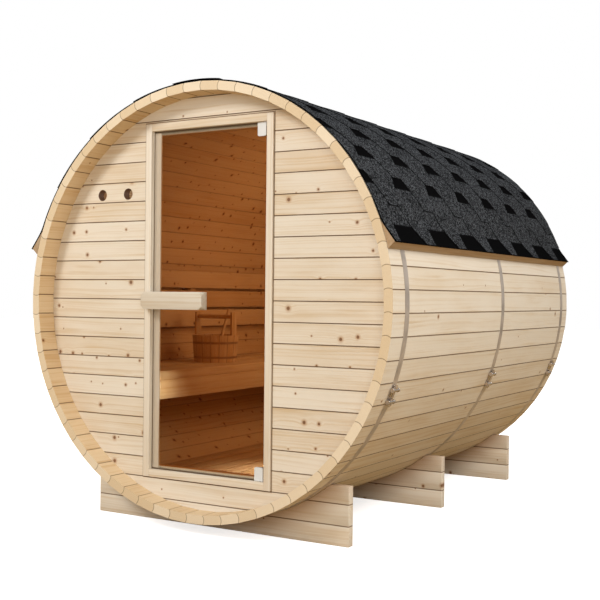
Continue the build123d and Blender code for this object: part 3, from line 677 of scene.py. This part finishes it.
def make_stave_wood():
    """Spruce staves, darker inside, whose sawn ends show their growth rings."""
    finish = make_wood("spruce_staves", stave_layout, stave_knots)
    side = finish.colour()
    _, across, depth, board, seam = stave_layout(finish)
    faded = in_cabin(finish) * seam.fade(0.0032, 0.0012) * 0.55
    faint = finish.mix(faded, side, settings().wood.pale)
    warmed = finish.mix(inner_half(depth), faint, CABIN_STAVE_TINT, "MULTIPLY")

    # Growth rings on the sawn ends, round a heart near the outer face
    ring_rate = 1700
    ripple = finish.noise(across * 60, depth * 60, board, 1.0)
    heart_shift = (finish.chance(board + 0.5) - 0.5) * 0.10
    middle = (board + 0.5) * (STAVE_PITCH * STAVE_MIDDLE) + STAVE_JOINT * STAVE_MIDDLE
    offset = across - middle - heart_shift
    height = depth - 0.99 + finish.chance(board + 0.25) * 0.06
    years = ((offset.hypot(height) + ripple * 0.002) * ring_rate).sine()
    speckle = finish.noise(across * 900, depth * 900, board, 2.0, 0.7)
    share = years * 0.22 + 0.42 + (speckle - 0.5) * 0.8 + (finish.chance(board + 0.75) - 0.5) * 0.6
    sawn = finish.mix(share.fade(0.0, 1.0), (0.84, 0.70, 0.51), (0.67, 0.49, 0.28))
    jointed = finish.mix(seam.fade(0.0026, 0.0008) * 0.62, sawn, settings().wood.joint)
    _, forward, _ = finish.facing()
    end = abs(forward).fade(0.80, 0.95)
    finish.set(Base_Color=finish.mix(end, warmed, jointed))
    return finish.material


def shade_under_barrel(finish):
    """Darken the cradles towards the barrel, where little light reaches them."""
    x, _, z = finish.place()
    near = x.hypot(z - AXIS_Z).fade(CRADLE_SHADE_REACH, STAVE_MIDDLE)
    shaded = finish.mix(near * 0.72, finish.colour(), (0.50, 0.30, 0.15), "MULTIPLY")
    finish.set(Base_Color=shaded)
    return finish.material


def shade_glass_gap(finish):
    """Paint shade on the frame in the narrow gap round the door glass, where little light reaches."""
    x, y, z = finish.place()
    beside = (GLASS_LOW.x - x).most(x - GLASS_HIGH.x)
    beyond = (GLASS_LOW.z - z).most(z - GLASS_HIGH.z)
    # Painted shade: the joint colour on the frame faces that lie beside or beyond the glass and behind
    # its front
    gap = (beside.most(beyond) > 0) * (y > GLASS_LOW.y + GLASS_GAP_DEPTH)
    finish.set(Base_Color=finish.mix(gap * 0.85, finish.colour(), settings().wood.joint))
    return finish.material


def make_wall_wood():
    """Spruce wall boards, with painted shade in the vents' bores and in the gap round the door frame.
    """
    finish = make_wood("spruce_wall_boards", wall_layout, 0.5)
    x, y, z = finish.place()
    _, forward, _ = finish.facing()
    # Painted shade: dark brown on the walls of the vents' bores
    reach = VENT_RADIUS + VENT_SHADE_MARGIN
    inner, outer = ((x - vent).hypot(z - VENT_LEVEL) < reach for vent in VENTS)
    shaded_bores = finish.mix(
        (abs(forward) < 0.5) * (inner + outer) * 0.93, finish.colour(), (0.13, 0.05, 0.02))
    # Painted shade: the joint colour on the front wall's boards in the gap round the door frame
    beside = abs(x) - FRAME_SIDE
    beyond = (FRAME_FOOT - z).most(z - FRAME_TOP)
    gap = beside.most(beyond).fade(FRAME_GAP, FRAME_GAP * 0.6) * (y < 0)
    finish.set(Base_Color=finish.mix(gap * 0.80, shaded_bores, settings().wood.joint))
    return finish.material


def make_glass():
    """Bronze glass with clear margins, a pale seal on its closing side and pale edges."""
    door = settings().door
    finish = Finish("bronze_glass")
    x, _, z = finish.place()
    _, forward, _ = finish.facing()
    closing_edge = GLASS_LOW.x + door.closing_margin
    clear = finish.node("ShaderNodeBsdfTransparent", sockets={"Color": (0.97, 0.97, 0.95)})
    bronze = finish.node("ShaderNodeBsdfTransparent", sockets={"Color": tuple(door.tint)})
    seal = finish.node("ShaderNodeBsdfPrincipled", sockets={
        "Base Color": (0.92, 0.76, 0.58), "Roughness": 0.45})
    rim = finish.node("ShaderNodeBsdfPrincipled", sockets={
        "Base Color": (0.80, 0.74, 0.60), "Roughness": 0.12})
    finish.set(Base_Color=(0.04, 0.03, 0.025), Roughness=0.03, Specular_IOR_Level=0.5)
    shine = Wire(finish, finish.surface.outputs[0])
    sheen = finish.node("ShaderNodeFresnel", sockets={"IOR": 1.25})
    tinted = (
        (x > closing_edge) * (z > GLASS_LOW.z + door.margin) * (z < GLASS_HIGH.z - door.margin))
    margin = finish.mix_shaders((x < closing_edge) * 0.40, clear, seal)
    pane = finish.mix_shaders(sheen, finish.mix_shaders(tinted, margin, bronze), shine)
    whole = finish.mix_shaders(abs(forward).fade(0.6, 0.4), pane, rim)
    output = finish.tree.nodes["Material Output"].inputs["Surface"]
    finish.tree.links.new(whole.socket, output)
    return finish.material


def make_metal(name, colour, roughness, metallic, brushed_along_y=False):
    """Metal with faint scratches in one direction and dull patches."""
    finish = Finish(name)
    x, y, z = finish.place()
    fine = 900.0
    coarse = 30.0
    if brushed_along_y:
        scratches = finish.noise(x * coarse, y * fine, z * coarse, 2.0, 0.6)
    else:
        scratches = finish.noise(x * fine, y * coarse, z * fine, 2.0, 0.6)
    dull = finish.noise(x * 14, y * 14, z * 14, 3.0)
    worn = tuple(part * 0.72 for part in colour)
    finish.set(
        Base_Color=finish.mix(dull.fade(0.35, 0.75), colour, worn),
        Metallic=metallic,
        Roughness=roughness + (scratches - 0.5) * 0.16 + (dull - 0.5) * 0.10,
        Normal=finish.bump(scratches, 0.00008))
    return finish.material


def make_steel(name):
    """Bright steel of bolts, nuts and caps."""
    return make_metal(name, tuple(settings().door.steel), 0.24, 0.8, True)


def make_white_metal():
    """White lacquered metal of the hinge clips."""
    finish = Finish("white_hinge")
    x, y, z = finish.place()
    peel = finish.noise(x * 400, y * 400, z * 400, 1.0)
    tone = finish.noise(x * 30, y * 30, z * 30, 2.0)
    finish.set(
        Base_Color=finish.mix(tone, (0.80, 0.80, 0.78), (0.70, 0.70, 0.68)),
        Roughness=0.28 + peel * 0.08,
        Normal=finish.bump(peel, 0.00004))
    return finish.material


def make_shingle_finish():
    """Mineral granules on bitumen, with the dark band that shows in the notches."""
    roof = settings().roof
    finish = Finish("mineral_shingle")
    place = finish.node("ShaderNodeUVMap", {"uv_map": "course"})
    u, v, _ = finish.parts(place)
    grit = finish.cells(place, 620.0)
    grit_tone, _, _ = finish.parts(grit.other("Color"))
    clump, _, _ = finish.parts(finish.cells(place, 210.0).other("Color"))
    patches = finish.noise(u * 9, v * 9, 0.0, 3.0, 0.6)
    drift = finish.noise(u * 2.2, v * 4, 5.0, 2.0)
    light = (
        (grit_tone - 0.5) * 1.0 + (clump * clump - 0.33) * 2.6 + (patches - 0.5) * 0.7
        + (drift - 0.5) * 0.7 + 1.0)
    grey = finish.node("ShaderNodeVectorMath", {"operation": "SCALE"}, {
        0: roof.granules, "Scale": light.most(0.12)})
    ragged = v + (finish.noise(u * 160, v * 160, 2.0, 2.0) - 0.5) * 0.012
    band_foot = roof.head_cover - roof.shade_band
    band = ragged.fade(band_foot - 0.003, band_foot + 0.003)
    x, _, z = finish.place()
    side, _, rise = finish.facing()
    height = z - AXIS_Z
    outward = (x * side + height * rise) / x.hypot(height)
    cut = outward.fade(0.7, 0.5)
    finish.set(
        Base_Color=finish.mix(band.most(cut), grey, roof.shade),
        Roughness=0.92 - grit_tone * 0.14,
        Specular_IOR_Level=0.0,
        Normal=finish.bump(1 - grit, 0.0012, 0.7))
    return finish.material


def bmesh_of(mesh):
    """A bmesh that holds a mesh."""
    shape = bmesh.new()
    shape.from_mesh(mesh)
    return shape


def add_piece(name, shape, material, body, replaced=(), smooth_below=35.0):
    """Finish a shape as a named piece that rides on a body."""
    mesh = bpy.data.meshes.new(name)
    bmesh.ops.recalc_face_normals(shape, faces=shape.faces)
    for face in shape.faces:
        face.smooth = True
    shape.to_mesh(mesh)
    shape.free()
    mesh.set_sharp_from_angle(angle=math.radians(smooth_below))
    mesh.materials.append(material)
    piece = bpy.data.objects.new(name, mesh)
    bpy.context.scene.collection.objects.link(piece)
    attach(piece, body)
    if replaced:
        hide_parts(*replaced)
    return piece


def eased_piece(node, width, material, body):
    """A copy of a sawn piece with its sharp arrises rounded over."""
    shape = bmesh_of(NODES[node].data)
    bmesh.ops.remove_doubles(shape, verts=shape.verts, dist=1e-5)
    bmesh.ops.dissolve_limit(
        shape, angle_limit=math.radians(0.5), verts=shape.verts, edges=shape.edges)
    sharp = [
        edge for edge in shape.edges
        if edge.is_manifold and edge.is_convex and edge.calc_face_angle() > SHARP_EDGE
    ]
    bmesh.ops.bevel(
        shape, geom=sharp, offset=width, offset_type="OFFSET", affect="EDGES",
        segments=2, profile=0.5, material=-1, clamp_overlap=True)
    bmesh.ops.triangulate(shape, faces=shape.faces)
    return add_piece(f"{node}_eased", shape, material, body, [node], 30.0)


def dress(material, *nodes):
    """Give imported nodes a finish."""
    for node in nodes:
        slots = NODES[node].data.materials
        slots.clear()
        slots.append(material)


def polar(radius, angle):
    """A point of the barrel's section, from the axis."""
    return Vector((radius * math.cos(angle), radius * math.sin(angle)))


def roof_profile():
    """The roof's section on the right: eave, straight run, flare and crown."""
    corner = polar(ROOF_RADIUS + STRIP_DEPTH, STRIP_FOOT_ANGLE + STRIP_CORNER / ROOF_RADIUS)
    top = polar(ROOF_RADIUS, STRIP_FOOT_ANGLE + STRIP_WIDTH / ROOF_RADIUS)
    slope = (corner - top).normalized()
    outward = Vector((-slope.y, slope.x))
    eave = corner + slope * ROOF_DRIP + outward * ROOF_SEAT
    crown = ROOF_RADIUS + ROOF_SEAT
    above = eave + outward * FLARE_RADIUS
    reach = above.dot(slope)
    run = reach - math.sqrt(reach**2 - above.dot(above) + (crown + FLARE_RADIUS) ** 2)
    centre = above - slope * run
    turn = (-centre.normalized()).angle(-outward)
    return {
        "eave": eave, "slope": slope, "outward": outward, "run": run,
        "centre": centre, "start": math.atan2(-outward.y, -outward.x),
        "flare_angle": math.atan2(centre.y, centre.x),
        "flare_end": run + FLARE_RADIUS * turn, "crown": crown,
    }


def on_roof(profile, distance, lift):
    """The point of the right side's section at a distance up from the eave."""
    if distance < profile["run"]:
        return profile["eave"] - profile["slope"] * distance + profile["outward"] * lift
    if distance < profile["flare_end"]:
        angle = profile["start"] - (distance - profile["run"]) / FLARE_RADIUS
        return profile["centre"] + polar(FLARE_RADIUS - lift, angle)
    angle = profile["flare_angle"] + (distance - profile["flare_end"]) / profile["crown"]
    return polar(profile["crown"] + lift, angle)


def course_levels(profile):
    """Distances up from the eave where the courses start, and the ridge's."""
    roof = settings().roof
    outer = profile["crown"] + 3 * roof.thickness
    step = roof.exposure / outer
    levels = [0.0]
    angle = roof.first_angle
    while angle < math.pi / 2 - step / 2:
        levels.append(profile["flare_end"] + (angle - profile["flare_angle"]) * profile["crown"])
        angle += step
    ridge = profile["flare_end"] + (math.pi / 2 - profile["flare_angle"]) * profile["crown"]
    return levels, ridge


def flat_course(tab_height, head, first_notch=None):
    """One course laid out flat: tabs below, if it has notches, and the plain strip above."""
    roof = settings().roof
    length = BARREL_BACK - BARREL_FRONT
    shape = bmesh.new()
    bmesh.ops.create_grid(shape, x_segments=1, y_segments=1, size=0.5)
    bmesh.ops.transform(
        shape, verts=shape.verts,
        matrix=Matrix.Translation((BARREL_FRONT + length / 2, (tab_height + head) / 2, 0))
        @ Matrix.Diagonal((length, tab_height + head, 1, 1)))
    cut_level(shape, tab_height)
    if first_notch is not None:
        pitches_before = math.ceil((first_notch - BARREL_FRONT) / roof.tab_pitch)
        notch = first_notch - pitches_before * roof.tab_pitch
        while notch < BARREL_BACK + roof.notch_foot:
            cut_notch(shape, notch, tab_height)
            notch += roof.tab_pitch
    return shape


def cut_level(shape, level, clear_above=False):
    """Cut a flat shape across at a height, and drop what lies above if asked."""
    bmesh.ops.bisect_plane(
        shape, geom=shape.verts[:] + shape.edges[:] + shape.faces[:], dist=1e-6,
        plane_co=(0, level, 0), plane_no=(0, 1, 0), clear_outer=clear_above)


def lies_near(face, centre, reach):
    """Whether a face of a flat course has a corner near a place or runs across it."""
    places = [vert.co.x for vert in face.verts]
    return any(abs(place - centre) < reach for place in places) or min(places) < centre < max(places)


def cut_notch(shape, centre, height):
    """Take one tapered notch out of the lower part of a flat course."""
    roof = settings().roof
    half_top = roof.notch_top / 2
    half_foot = roof.notch_foot / 2
    sides = []
    for way in (-1, 1):
        foot = Vector((centre + way * half_foot, 0, 0))
        normal = Vector((height, way * (half_foot - half_top), 0)).normalized() * way
        sides.append((foot, normal))
        near = [
            face for face in shape.faces
            if face.calc_center_median().y < height and lies_near(face, centre, roof.tab_pitch * 2)
        ]
        geom = set(near)
        for face in near:
            geom.update(face.edges)
            geom.update(face.verts)
        bmesh.ops.bisect_plane(shape, geom=list(geom), dist=1e-6, plane_co=foot, plane_no=normal)
    gone = []
    for face in shape.faces:
        middle = face.calc_center_median()
        if middle.y < height and all((middle - foot).dot(normal) < 0 for foot, normal in sides):
            gone.append(face)
    bmesh.ops.delete(shape, geom=gone, context="FACES")


def map_course(shape, u_of, v_of):
    """Map a flat course, so that its pattern lies along it and up it."""
    layer = shape.loops.layers.uv.new("course")
    for face in shape.faces:
        for loop in face.loops:
            loop[layer].uv = (u_of(loop.vert.co.x), v_of(loop.vert.co.y))


def thicken_outwards(shape, thickness):
    """Give a bent sheet its thickness on the side away from the barrel's axis."""
    bmesh.ops.recalc_face_normals(shape, faces=shape.faces)
    axis = Vector((0, 0, AXIS_Z))
    if sum(face.normal.dot(face.calc_center_median() - axis) for face in shape.faces) < 0:
        bmesh.ops.reverse_faces(shape, faces=shape.faces)
    bmesh.ops.solidify(shape, geom=shape.faces[:], thickness=-thickness)


def bend_course(shape, profile, start, side, lift_of, ridge, v_of):
    """Give a flat course its map, bend it to the roof and thicken it."""
    top = min(max(vert.co.y for vert in shape.verts), ridge - start)
    cut_level(shape, top, clear_above=True)
    level = BEND_STEP
    while level < top:
        cut_level(shape, level)
        level += BEND_STEP
    map_course(shape, lambda along: along + start * PATTERN_SHIFT, v_of)
    for vert in shape.verts:
        along, up = vert.co.x, vert.co.y
        spot = on_roof(profile, start + up, lift_of(up))
        vert.co = (side * spot.x, along, AXIS_Z + spot.y)
    thicken_outwards(shape, settings().roof.thickness)
    return shape


def bucket_radius(level):
    """The bucket's radius at a height above its base."""
    return BUCKET_BASE + (BUCKET_TOP - BUCKET_BASE) * level / BUCKET_BODY


def join_into(target, shape):
    """Add one shape to another."""
    mesh = bpy.data.meshes.new("joining")
    shape.to_mesh(mesh)
    shape.free()
    target.from_mesh(mesh)
    bpy.data.meshes.remove(mesh)


class SAUNA_OT_finish_wood(bpy.types.Operator):
    """Give every wooden piece its spruce finish"""

    bl_idname = "sauna.finish_wood"
    bl_label = "Finish the wood"

    def execute(self, context):
        dress(make_stave_wood(), *[name for name in NODES if name.startswith("staves_")])
        dress(make_wall_wood(), *[name for name in NODES if "_wall" in name])
        upright = shade_glass_gap(make_wood("spruce_uprights", upright_layout, 0.12, -0.1))
        rail = shade_glass_gap(make_wood("spruce_rails", rail_layout, 0.12, -0.1))
        handle = make_wood("spruce_handles", handle_layout, 0.0, -0.1, (0.86, 0.87, 0.88)).material
        cradle = shade_under_barrel(make_wood("spruce_cradles", cradle_layout, 0.5, -0.2))
        slats = make_wood("spruce_bench", slat_layout, 1.0, 0.1, BENCH_TINT).material
        back = make_wood("spruce_backrest", backrest_layout, 1.0, 0.1, CABIN_TINT).material
        floor = make_wood("spruce_floor", floor_layout, 1.0, 0.1, CABIN_TINT).material
        for material, body, slot, width, nodes in (
                (upright, "root", "frame_wood", 0.0012, ("door_frame_left", "door_frame_right")),
                (rail, "root", "frame_wood", 0.0012, ("door_frame_head", "door_sill")),
                (handle, "door", "handle_wood", 0.0010, ("door_handle_outside", "door_handle_inside")),
                (cradle, "root", "cradle_wood", 0.0020, [f"cradle_{place}" for place in PLACES]),
                (slats, "root", "bench_wood", 0.0030, ("bench_seat", "bench_front_board")),
                (back, "root", "bench_wood", 0.0020, ("backrest",)),
                (floor, "root", "floor_wood", 0.0020, ("floor_boards",))):
            for node in nodes:
                eased_piece(node, width, material, body)
        bearer = make_wood("spruce_bearers", bearer_layout, 1.0, 0.1, CABIN_TINT).material
        dress(bearer, "bench_bearers", "floor_bearers")
        eaves = make_wood("spruce_eaves_strips", slat_layout, 0.3, 0.3, (0.62, 0.52, 0.42)).material
        dress(eaves, "eaves_strip_left", "eaves_strip_right")
        bucket = make_wood("spruce_bucket", bucket_layout, 0.1, 0.2, CABIN_TINT).material
        dress(bucket, "bucket", "ladle")
        return {"FINISHED"}


class SAUNA_OT_finish_metal_and_glass(bpy.types.Operator):
    """Give the door glass, the bands and the ironwork their finish"""

    bl_idname = "sauna.finish_metal_and_glass"
    bl_label = "Finish glass and metal"

    def execute(self, context):
        door = settings().door
        dress(make_glass(), "door_glass")
        band = make_metal("band_steel", tuple(door.band), 0.42, 0.45)
        steel = make_steel("bolt_steel")
        for place in PLACES:
            dress(band, f"band_{place}")
            dress(steel, f"band_clamp_{place}")
        dress(steel, "handle_fixings", "hinge_bearing_top", "hinge_bearing_bottom")
        dress(make_white_metal(), "hinge_clip_top", "hinge_clip_bottom")
        return {"FINISHED"}


class SAUNA_OT_cap_clamps(bpy.types.Operator):
    """Close the rolled ends in the band clamps with hexagonal caps"""

    bl_idname = "sauna.cap_clamps"
    bl_label = "Cap the clamps"

    def execute(self, context):
        caps = bmesh.new()
        outward = Vector((math.cos(CLAMP_ANGLE), 0, math.sin(CLAMP_ANGLE)))
        upward = Vector((-outward.z, 0, outward.x))
        for place in PLACES:
            low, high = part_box(f"band_{place}")
            for roll in (-1, 1):
                middle = outward * (BAND_OUTER + CLAMP_ROLL_LIFT) + upward * (roll * CLAMP_ROLL_SHIFT)
                for end, way in ((low.y, -1), (high.y, 1)):
                    along = end + way * (CAP_HEIGHT / 2 + SEAT)
                    join_into(caps, self.cap(middle + Vector((0, along, AXIS_Z))))
        add_piece("clamp_caps", caps, make_steel("cap_steel"), "root")
        return {"FINISHED"}

    def cap(self, middle):
        """One hexagonal cap with eased edges, lying along the barrel."""
        cap = bmesh.new()
        bmesh.ops.create_cone(
            cap, cap_ends=True, segments=6, radius1=CAP_RADIUS, radius2=CAP_RADIUS, depth=CAP_HEIGHT,
            matrix=Matrix.Translation(middle) @ Matrix.Rotation(math.radians(90), 4, "X"))
        bmesh.ops.bevel(
            cap, geom=cap.edges[:], offset=CAP_EASING, offset_type="OFFSET", affect="EDGES",
            segments=1, profile=0.5, material=-1)
        return cap


class SAUNA_OT_hoop_bucket(bpy.types.Operator):
    """Let two copper hoops into the bucket's staves, almost flush"""

    bl_idname = "sauna.hoop_bucket"
    bl_label = "Hoop the bucket"

    def execute(self, context):
        hoops = bmesh.new()
        for level in HOOP_LEVELS:
            ends = [bucket_radius(level + way * HOOP_WIDTH / 2) + SEAT for way in (-1, 1)]
            hoop = bmesh.new()
            bmesh.ops.create_cone(
                hoop, cap_ends=False, segments=64, radius1=ends[0], radius2=ends[1], depth=HOOP_WIDTH,
                matrix=Matrix.Translation((BUCKET_PLACE.x, BUCKET_PLACE.y, BUCKET_LOW.z + level)))
            bmesh.ops.recalc_face_normals(hoop, faces=hoop.faces)
            outward = hoop.faces[0].calc_center_median() - BUCKET_PLACE
            if hoop.faces[0].normal.xy.dot(outward.xy) > 0:
                bmesh.ops.reverse_faces(hoop, faces=hoop.faces)
            bmesh.ops.solidify(hoop, geom=hoop.faces[:], thickness=-HOOP_THICKNESS)
            join_into(hoops, hoop)
        copper = make_metal("hoop_copper", (0.50, 0.34, 0.20), 0.4, 0.7)
        add_piece("bucket_hoops", hoops, copper, "root")
        return {"FINISHED"}


class SAUNA_OT_lay_shingles(bpy.types.Operator):
    """Lay the courses of tabbed shingles on both sides and the caps on the ridge"""

    bl_idname = "sauna.lay_shingles"
    bl_label = "Lay the shingles"

    def execute(self, context):
        roof = settings().roof
        profile = roof_profile()
        levels, ridge = course_levels(profile)
        material = make_shingle_finish()
        lap = roof.thickness * LAP_LIFT
        for side, side_name in ((1, "right"), (-1, "left")):
            courses = bmesh.new()
            shade_top = roof.head_cover - roof.shade_band + STARTER_SHADE
            join_into(courses, bend_course(
                flat_course(levels[1], STARTER_HEAD), profile, 0.0, side,
                lambda up: 0.0, ridge, lambda up: shade_top - up))
            for index, start in enumerate(levels):
                tab = levels[index + 1] - start if index + 1 < len(levels) else roof.exposure
                length = tab + roof.head_cover
                first_notch = BARREL_FRONT + roof.first_notch + index % 2 * roof.tab_pitch / 2
                join_into(courses, bend_course(
                    flat_course(tab, roof.head_cover, first_notch), profile, start, side,
                    lambda up: max(0.0, lap * (1 - up / length)), ridge, lambda up: up - tab))
            add_piece(f"shingles_{side_name}", courses, material, "root",
                      ["roof_shingles"] if side > 0 else [])
        add_piece("ridge_caps", self.ridge_caps(profile, lap), material, "root")
        return {"FINISHED"}

    def ridge_caps(self, profile, lap):
        """Short pieces bent over the ridge, each lapping the one behind it."""
        roof = settings().roof
        caps = bmesh.new()
        base = profile["crown"] + roof.thickness * RIDGE_LIFT
        start = BARREL_FRONT
        while start < BARREL_BACK - SHORTEST_RIDGE_CAP:
            reach = min(2 * roof.exposure, BARREL_BACK - start)
            cap = bmesh.new()
            bmesh.ops.create_grid(cap, x_segments=12, y_segments=2, size=0.5)
            map_course(
                cap, lambda across: across * RIDGE_CAP_WIDTH + start * PATTERN_SHIFT,
                lambda along: -(along + 1) * reach)
            for vert in cap.verts:
                share = vert.co.y + 0.5
                radius = base + lap * RIDGE_LAP_SHARE * (1 - share)
                spot = polar(radius, math.pi / 2 - vert.co.x * RIDGE_CAP_WIDTH / base)
                vert.co = (spot.x, start + share * reach, AXIS_Z + spot.y)
            thicken_outwards(cap, roof.thickness)
            join_into(caps, cap)
            start += roof.exposure
        return caps


class SAUNA_OT_set_stage(bpy.types.Operator):
    """Set up the camera, the lamps and the pale floor"""

    bl_idname = "sauna.set_stage"
    bl_label = "Set the stage"

    def execute(self, context):
        stage = settings().stage
        scene = context.scene
        self.place_camera(scene, stage)
        self.light_world(scene, stage)
        self.lay_floor()
        for name, lamp in LAMPS.items():
            self.hang_lamp(f"{name}_lamp", getattr(stage, name), *lamp)
        scene.view_settings.view_transform = "Standard"
        scene.view_settings.look = "None"
        return {"FINISHED"}

    def place_camera(self, scene, stage):
        """Stand the camera where the picture was taken from."""
        camera = bpy.data.objects.new("camera", bpy.data.cameras.new("camera"))
        scene.collection.objects.link(camera)
        camera.data.lens = stage.lens
        camera.data.sensor_width = 36.0
        camera.data.dof.use_dof = False
        turn, tilt, lean = stage.turn, stage.tilt, stage.lean
        ahead = Vector((
            -math.sin(turn) * math.cos(tilt), math.cos(turn) * math.cos(tilt), math.sin(tilt)))
        level = Vector((math.cos(turn), math.sin(turn), 0))
        above = level.cross(ahead)
        right = level * math.cos(lean) + above * math.sin(lean)
        up = above * math.cos(lean) - level * math.sin(lean)
        turned = Matrix((right, up, -ahead)).transposed().to_4x4()
        camera.matrix_world = Matrix.Translation(stage.eye) @ turned
        scene.camera = camera

    def light_world(self, scene, stage):
        """An even white dome that shows white behind the sauna."""
        world = bpy.data.worlds.new("studio")
        world.use_nodes = True
        scene.world = world
        tree = world.node_tree
        background = tree.nodes["Background"]
        seen = tree.nodes.new("ShaderNodeLightPath")
        strength = tree.nodes.new("ShaderNodeMapRange")
        strength.inputs["To Min"].default_value = stage.dome
        strength.inputs["To Max"].default_value = 1.0
        tree.links.new(seen.outputs["Is Camera Ray"], strength.inputs["Value"])
        tree.links.new(strength.outputs[0], background.inputs["Strength"])
        background.inputs["Color"].default_value = (1.0, 1.0, 1.0, 1.0)

    def lay_floor(self):
        """A wide pale floor that looks white and throws little light back."""
        shape = bmesh.new()
        bmesh.ops.create_grid(shape, x_segments=1, y_segments=1, size=PALE_FLOOR_REACH)
        bmesh.ops.translate(shape, verts=shape.verts, vec=(0, 0, -PALE_FLOOR_DROP))
        mesh = bpy.data.meshes.new("floor")
        shape.to_mesh(mesh)
        shape.free()
        floor = bpy.data.objects.new("floor", mesh)
        bpy.context.scene.collection.objects.link(floor)
        finish = Finish("pale_floor")
        seen = finish.node("ShaderNodeLightPath", output="Is Camera Ray")
        colour = finish.mix(seen, (0.42, 0.29, 0.13), (0.95, 0.95, 0.95))
        x, y, _ = finish.place()
        far = x.hypot(y).fade(*PALE_FLOOR_FADE)
        finish.set(
            Base_Color=colour, Roughness=0.9, Specular_IOR_Level=0.0, Emission_Strength=1.0,
            Emission_Color=finish.mix(seen * (far * 0.30 + 0.70), (0, 0, 0), (1, 1, 1)))
        mesh.materials.append(finish.material)

    def hang_lamp(self, name, power, place, target, size, colour, spread):
        """A square soft lamp that points at a target."""
        data = bpy.data.lights.new(name, "AREA")
        data.color = colour
        data.spread = math.radians(spread)
        data.size = size
        data.energy = power
        lamp = bpy.data.objects.new(name, data)
        bpy.context.scene.collection.objects.link(lamp)
        way = Vector(target) - Vector(place)
        lamp.location = place
        lamp.rotation_euler = way.to_track_quat("-Z", "Y").to_euler()
        lamp.visible_camera = False


class SAUNA_PT_panel(bpy.types.Panel):
    """The steps that dress the sauna"""

    bl_label = "Barrel Sauna"
    bl_idname = "SAUNA_PT_panel"
    bl_space_type = "VIEW_3D"
    bl_region_type = "UI"
    bl_category = "Sauna"

    def draw(self, context):
        for step in STEPS:
            self.layout.operator(step.bl_idname)


class SaunaSettings(bpy.types.PropertyGroup):
    """Everything that a user would change."""

    wood: bpy.props.PointerProperty(type=SaunaWood, name="Wood", description="The spruce")
    roof: bpy.props.PointerProperty(type=SaunaRoof, name="Roof", description="The shingles")
    door: bpy.props.PointerProperty(type=SaunaDoor, name="Door", description="Glass and metal")
    stage: bpy.props.PointerProperty(type=SaunaStage, name="Stage", description="Camera and light")


STEPS = (
    SAUNA_OT_finish_wood,
    SAUNA_OT_finish_metal_and_glass,
    SAUNA_OT_cap_clamps,
    SAUNA_OT_hoop_bucket,
    SAUNA_OT_lay_shingles,
    SAUNA_OT_set_stage,
)
GROUPS = (SaunaWood, SaunaRoof, SaunaDoor, SaunaStage, SaunaSettings)
CLASSES = (*GROUPS, *STEPS, SAUNA_PT_panel)


def register():
    """Make the classes known and hang the settings on the scene."""
    for kind in CLASSES:
        bpy.utils.register_class(kind)
    bpy.types.Scene.sauna = bpy.props.PointerProperty(type=SaunaSettings)


def unregister():
    """Take the settings and the classes away again."""
    del bpy.types.Scene.sauna
    for kind in reversed(CLASSES):
        bpy.utils.unregister_class(kind)


def main():
    """Dress the sauna."""
    register()
    for step in STEPS:
        group, name = step.bl_idname.split(".")
        getattr(getattr(bpy.ops, group), name)()


if __name__ == "__main__":
    main()
